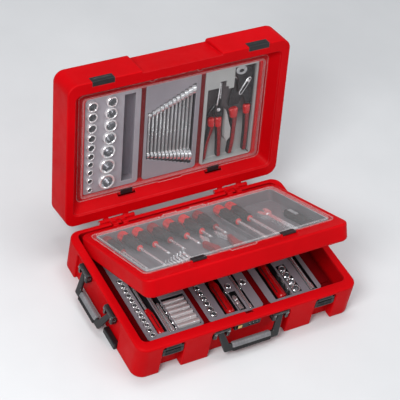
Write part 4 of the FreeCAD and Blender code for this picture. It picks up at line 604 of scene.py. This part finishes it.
b = Build()
plate(b, smooth2([on_lid(*p) for p in [(135.8, 288.6), (138, 289.8), (139.6, 288.8), (140.6, 262), (139.8, 232), (143.5, 215), (147.6, 202), (148.3, 194), (148.2, 186), (140, 185.6), (131.4, 185.8), (126.6, 195), (124.8, 205), (127.4, 222), (129.4, 238), (132.6, 264)]], 4), 140.6, 146.6, 1.2, OXIDE)
plate(b, smooth2([on_lid(*p) for p in [(141.0, 288.6), (143, 288.8), (144.6, 285.5), (146.4, 262), (147.2, 240), (147.0, 222), (142.5, 210), (136.0, 199), (128.8, 186.4), (119, 187.8), (109.8, 189.2), (111, 194.5), (114.5, 201), (121, 210), (128, 218.5), (139.4, 232), (140.6, 262)]], 4), 146.6, 152.6, 1.2, OXIDE)
stack(b, (136.5, 199 - 207, 139.2), (0, 0, 1), [(0, 2.6), (0.4, 4.6), (1.4, 5.2), (2.0, 5.2)], SATIN, 32)
# polished flank of the near jaw and the cross-cut gripping teeth
plate(b, [on_lid(*p) for p in [(134.2, 284), (137.4, 286.5), (135.2, 250), (131.8, 222), (129.4, 222), (131.2, 246)]], 140.0, 141.0, 0.3, SATIN)
for k in range(9):
    plate(b, [on_lid(*p) for p in [(137.4, 240 + 5 * k), (140.5, 240 + 5 * k), (140.5, 242.4 + 5 * k), (137.4, 242.4 + 5 * k)]], 140.2, 141.0, 0.2, SATIN)
b.finish("long_nose_head", "lid", LID, ("long_nose_pliers",), 30)

b = Build()
plate(b, smooth2([on_lid(*p) for p in [(175.6, 307), (178, 314), (184, 319), (192, 320.6), (200, 320.4), (210, 317.4), (220, 311.4), (227, 304), (230.4, 295), (231.6, 282), (232, 266), (232.2, 234), (231.6, 212), (231, 205), (222, 204.8), (213, 205.2), (210.6, 216), (207, 227), (200.6, 234), (195.6, 239), (191, 248), (188.4, 258), (188, 268), (187.6, 278), (186.6, 284), (181, 294)]], 4), 140.6, 146.6, 1.3, OXIDE)
plate(b, smooth2([on_lid(*p) for p in [(182, 279), (188, 284), (196, 288.6), (205, 291), (214, 288.6), (221, 284), (223.4, 275), (223, 262), (217, 246), (209, 231), (203, 217), (198, 205), (184, 204.6), (169.4, 205), (168.9, 220), (170.6, 236), (175, 250), (179.6, 262)]], 4), 146.6, 152.6, 1.3, OXIDE)
# slotted joint: raised rim, a black plate as painted shade in the slot, and the pin
a0, a1 = Vector(on_lid(218.6, 278)), Vector(on_lid(196.6, 243))
ax = (a1 - a0).normalized()
sd = Vector((-ax.y, ax.x))


def stadium(r, grow=0.0, count=10):
    pts = []
    for c, sgn in ((a0 - ax * grow, -1), (a1 + ax * grow, 1)):
        for k in range(count + 1):
            t = math.pi * (k / count) - math.pi / 2
            d = ax * (sgn * math.cos(t)) + sd * (sgn * math.sin(t))
            pts.append(tuple(c + d * r))
    return pts


plate(b, stadium(5.6), 139.4, 141.2, 0.5, SATIN)
plate(b, stadium(3.6), 139.0, 140.4, 0.25, RUBBER)
c0 = a0 + (a1 - a0) * 0.12
stack(b, (c0.x, c0.y, 138.4), (0, 0, 1), [(0, 2.0), (0.5, 3.3), (1.6, 3.5), (2.4, 3.5)], SATIN, 28)
# bright round jaw with a dark eye
plate(b, smooth2([on_lid(*p) for p in [(178, 312), (186, 319), (197, 320), (207, 314), (209, 304), (202, 297), (191, 297), (181, 303)]], 5), 139.6, 141.0, 0.6, STEEL)
plate(b, smooth2([on_lid(*p) for p in [(187, 309), (193, 313), (200, 310), (200, 305), (193, 302.6), (188, 304.6)]], 5), 139.2, 140.6, 0.3, OXIDE)
for k in range(7):
    q = Vector(on_lid(180.5 + 2.9 * k, 287.5 - 1.2 * k))
    plate(b, [(q.x - 0.9, q.y - 2.0), (q.x + 0.9, q.y - 2.0), (q.x + 0.9, q.y + 2.0), (q.x - 0.9, q.y + 2.0)], 145.6, 147.4, 0.3, SATIN)
b.finish("pump_pliers_head", "lid", LID, ("pump_pliers",), 30)

b = Build()
HANDLES = [([(140.4, 183), (141, 170), (142, 155), (143.8, 130), (145.6, 100), (147, 75), (147.8, 66)], [8.6, 8.8, 8.2, 7.0, 6.8, 6.8, 5.8], 1),
           ([(118.8, 184), (120, 172), (120.6, 160), (115.4, 138), (108.6, 110), (105.6, 82), (105.2, 66)], [9.4, 9.2, 7.8, 6.6, 6.4, 6.2, 5.4], -1),
           ([(221.6, 201), (222, 188), (222.4, 174), (223.8, 133), (223.8, 94), (223.4, 76), (223.2, 66)], [9.8, 9.2, 8.2, 7.2, 7.0, 7.0, 6.0], 1),
           ([(182.4, 199.5), (183.6, 186), (184.8, 172), (184.6, 144), (183.4, 105), (180.6, 78), (179, 66)], [13.2, 11.4, 9.8, 8.6, 8.4, 8.0, 6.8], -1)]
for pts, ws, side in HANDLES:
    path = spline([on_lid(*p) + (145.6,) for p in pts], False, 8)
    hw = widths(ws, len(path))
    n = len(path)
    round_end = [min(1.0, 0.70 + 0.30 * min(i, n - 1 - i) / 2.0) for i in range(n)]
    sizes = [(w * e, 6.9 * e) for w, e in zip(hw, round_end)]
    sweep(b, path, sizes, (0, 0, -1), RUBBER, 28,
          lambda t, a, side=side: REDGRIP if t < 0.30 else (DARKRED if 0.10 + (0.03 if side > 0 else 0.08) < a < 0.34 + (0.03 if side > 0 else 0.08) else RUBBER), 2.8)
    # soft ribs across the grip
    for k in range(6):
        i = int(n * (0.42 + 0.075 * k))
        sweep(b, [path[i] + (path[i + 1] - path[i]).normalized() * d for d in (-1.3, 0.0, 1.3)], [(hw[i] * 0.98, 6.7), (hw[i] * 1.04, 6.98), (hw[i] * 0.98, 6.7)], (0, 0, -1), RUBBER, 28, None, 2.8)
b.finish("pliers_handles", "lid", LID, ("pliers_sleeves",))

# ------------------------------------------------------------------ handle grips
def bar(b, lo, hi, material, c=0.3):
    """Small block with chamfered upper and lower rims."""
    (x0, y0, z0), (x1, y1, z1) = lo, hi
    plate(b, [(x0, y0), (x1, y0), (x1, y1), (x0, y1)], z0, z1, min(c, 0.3 * (z1 - z0), 0.3 * (x1 - x0), 0.3 * (y1 - y0)), material)


def tilted(place, turn):
    return (BASE @ Matrix.Translation(place) @ Matrix.Rotation(math.radians(turn), 4, "Z")
            @ Matrix.Rotation(math.radians(-22), 4, "X"))


FRONT_BAIL = tilted((0, -192, 73), 0)
SIDE_BAIL = tilted((-301, 18, 72), -90)
for name, body, half, matrix in (("front", "front_handle", 53.0, FRONT_BAIL), ("side", "side_handle", 42.0, SIDE_BAIL)):
    b = Build()
    path, sizes = [], []
    steps = 2 * int(half)
    for i in range(steps + 1):
        x = -half + 2 * half * i / steps
        rise = min(1.0, 0.72 + 0.28 * min(i, steps - i) / 3.0)
        groove = 0.955 if abs(x) < half - 9 and (i % 8) in (3, 4) else 1.0
        path.append(Vector((x, 0, -48.7)))
        sizes.append((7.25 * rise * groove, 11.5 * (0.86 + 0.14 * (rise - 0.72) / 0.28) * (0.5 + 0.5 * groove)))
    sweep(b, path, sizes, (0, 0, 1), GRIPGREY, 40, lambda t, a: GRIPGREY if 0.0 < a < 0.5 else RUBBER, 4.2)
    b.finish(name + "_grip_sleeve", body, matrix, (name + "_handle_grip",), 30)

# ------------------------------------------------------------------ small fittings
# cross slots of the bracket screws, drawn as thin black bars on the heads: painted shade in the slots
b = Build()
for x in (-99.2, -63.0, 63.0, 99.2):
    bar(b, (x - 1.7, -201.92, 78.15), (x + 1.7, -201.70, 78.85), RUBBER)
    bar(b, (x - 0.35, -201.92, 76.8), (x + 0.35, -201.70, 80.2), RUBBER)
for y in (-68.2, -32.0, 68.0, 104.2):
    bar(b, (-310.92, y - 1.6, 77.15), (-310.70, y + 1.6, 77.85), RUBBER)
    bar(b, (-310.92, y - 0.35, 75.9), (-310.70, y + 0.35, 79.1), RUBBER)
b.finish("screw_slots", "base", BASE)

# finger ribs on the latch levers and a rib on each claw
for side, c in (("left", -209), ("right", 209)):
    b = Build()
    for z in (62.6, 64.8, 67.0):
        bar(b, (c - 20, -197.7, z), (c + 20, -196.9, z + 1.0), BLACK)
    b.finish("latch_%s_ribs" % side, "latch_%s_lever" % side, BASE)

# change-over levers and cap rings of the two ratchets
for name, x, y, z, r, where in (("small", -8, 62.6, 38.2, 7.8, MIDDLE), ("large", 133, 90.4, 38.8, 9.5, RIGHT)):
    b = Build()
    stack(b, (x, y, z - 0.1), (0, 0, 1), [(0, r), (0.4, r - 0.3), (0.5, r - 1.2)], SATIN, 40)
    bar(b, (x - 2.3, y - r - 2.5, z), (x + 2.3, y + 2.2, z + 0.8), BLACK)
    b.finish("ratchet_%s_lever" % name, "base", where)

# slider and blade of the knife, worm of the adjustable spanner
b = Build()
bar(b, (217.4, -14, 72.6), (226.6, 24, 74.6), GRIPGREY, 0.6)
for k in range(7):
    bar(b, (218.2, -10 + 4.6 * k, 74.4), (225.8, -8 + 4.6 * k, 75.3), GRIPGREY)
bar(b, (215.5, 34.6, 63.4), (228.5, 46, 64.2), STEEL)
b.finish("knife_slider", "mid_tray", MID)
b = Build()
stack(b, (171.6, 50, 63.4), (1, 0, 0), [(0, 3.4), (0.6, 4.3), (1.0, knurl(4.4, 0.25, 16)), (9.4, knurl(4.4, 0.25, 16)), (9.8, 4.3), (10.4, 3.4)], CHROME, 64)
b.finish("adjustable_worm", "mid_tray", MID)

# ------------------------------------------------------------------ digits on the lock wheels
for label, x in (("left", -4), ("middle", 6), ("right", 16)):
    for d in range(10):
        cu = bpy.data.curves.new("digit_%s_%d" % (label, d), "FONT")
        cu.body = str(d)
        cu.size = 0.0036
        cu.align_x = "CENTER"
        cu.align_y = "CENTER"
        cu.extrude = 0.00006
        ob = bpy.data.objects.new("digit_%s_%d" % (label, d), cu)
        bpy.context.scene.collection.objects.link(ob)
        a = math.radians(36 * d)
        out = Vector((0, -math.cos(a), math.sin(a)))
        upv = Vector((0, math.sin(a), math.cos(a)))
        m = Matrix(((1, 0, 0), (0, 1, 0), (0, 0, 1))).to_4x4()
        for row in range(3):
            m[row][0] = (1, 0, 0)[row]
            m[row][1] = upv[row]
            m[row][2] = out[row]
        m.translation = Vector((x * 0.001, -0.1904, 0.075)) + out * 0.00522
        ob.matrix_world = m
        cu.materials.append(INK)
        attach(ob, "lock_wheel_" + label)

# ------------------------------------------------------------------ stage, light and camera
me = bpy.data.meshes.new("floor")
s = 9.0
me.from_pydata([(-s, -s, -0.0005), (s, -s, -0.0005), (s, s, -0.0005), (-s, s, -0.0005)], [], [(0, 1, 2, 3)])
floor = bpy.data.objects.new("floor", me)
bpy.context.scene.collection.objects.link(floor)
k = Mat("pale_floor")
k.put(Specular_IOR_Level=0.3)
me.materials.append(k.done(k.mix(k.span(k.noise(3, 4.0), 0.3, 0.7, 0.0, 1.0), (0.60, 0.61, 0.62), (0.64, 0.65, 0.66)), k.span(k.noise(20, 3.0), 0.3, 0.7, 0.55, 0.7)))

world = bpy.data.worlds.new("studio")
bpy.context.scene.world = world
world.use_nodes = True
wt = world.node_tree
bg = wt.nodes["Background"]
bg.inputs["Color"].default_value = (0.80, 0.83, 0.88, 1)
bg.inputs["Strength"].default_value = 0.42


def lamp(name, place, target, size, power, color=(1, 1, 1)):
    li = bpy.data.lights.new(name, "AREA")
    li.shape = "RECTANGLE"
    li.size, li.size_y = size
    li.energy = power
    li.color = color
    ob = bpy.data.objects.new(name, li)
    bpy.context.scene.collection.objects.link(ob)
    ob.location = place
    ob.rotation_euler = (Vector(target) - Vector(place)).to_track_quat("-Z", "Y").to_euler()


lamp("key", (-1.7, -0.9, 2.1), (0, 0.05, 0.15), (1.1, 1.1), 62)
lamp("fill", (1.9, -1.5, 1.2), (0, 0, 0.15), (1.4, 1.4), 16)
lamp("top", (0.2, 0.5, 2.6), (0, 0.1, 0.1), (1.6, 0.9), 30)

cam = bpy.data.cameras.new("camera")
cam.sensor_width = 36.0
cam.lens = 1480.42 / 400.0 * 36.0
cam.clip_end = 50
co = bpy.data.objects.new("camera", cam)
bpy.context.scene.collection.objects.link(co)
right = Vector((0.868707, -0.46884, 0.159803))
down = Vector((-0.235641, -0.674947, -0.699228))
ahead = Vector((0.435684, 0.569769, -0.696809))
mw = Matrix.Identity(4)
for row in range(3):
    mw[row][0], mw[row][1], mw[row][2] = right[row], -down[row], -ahead[row]
mw.translation = Vector((-1.55725, -1.93112, 2.68989))
co.matrix_world = mw
bpy.context.scene.camera = co
bpy.context.scene.view_settings.view_transform = "Standard"
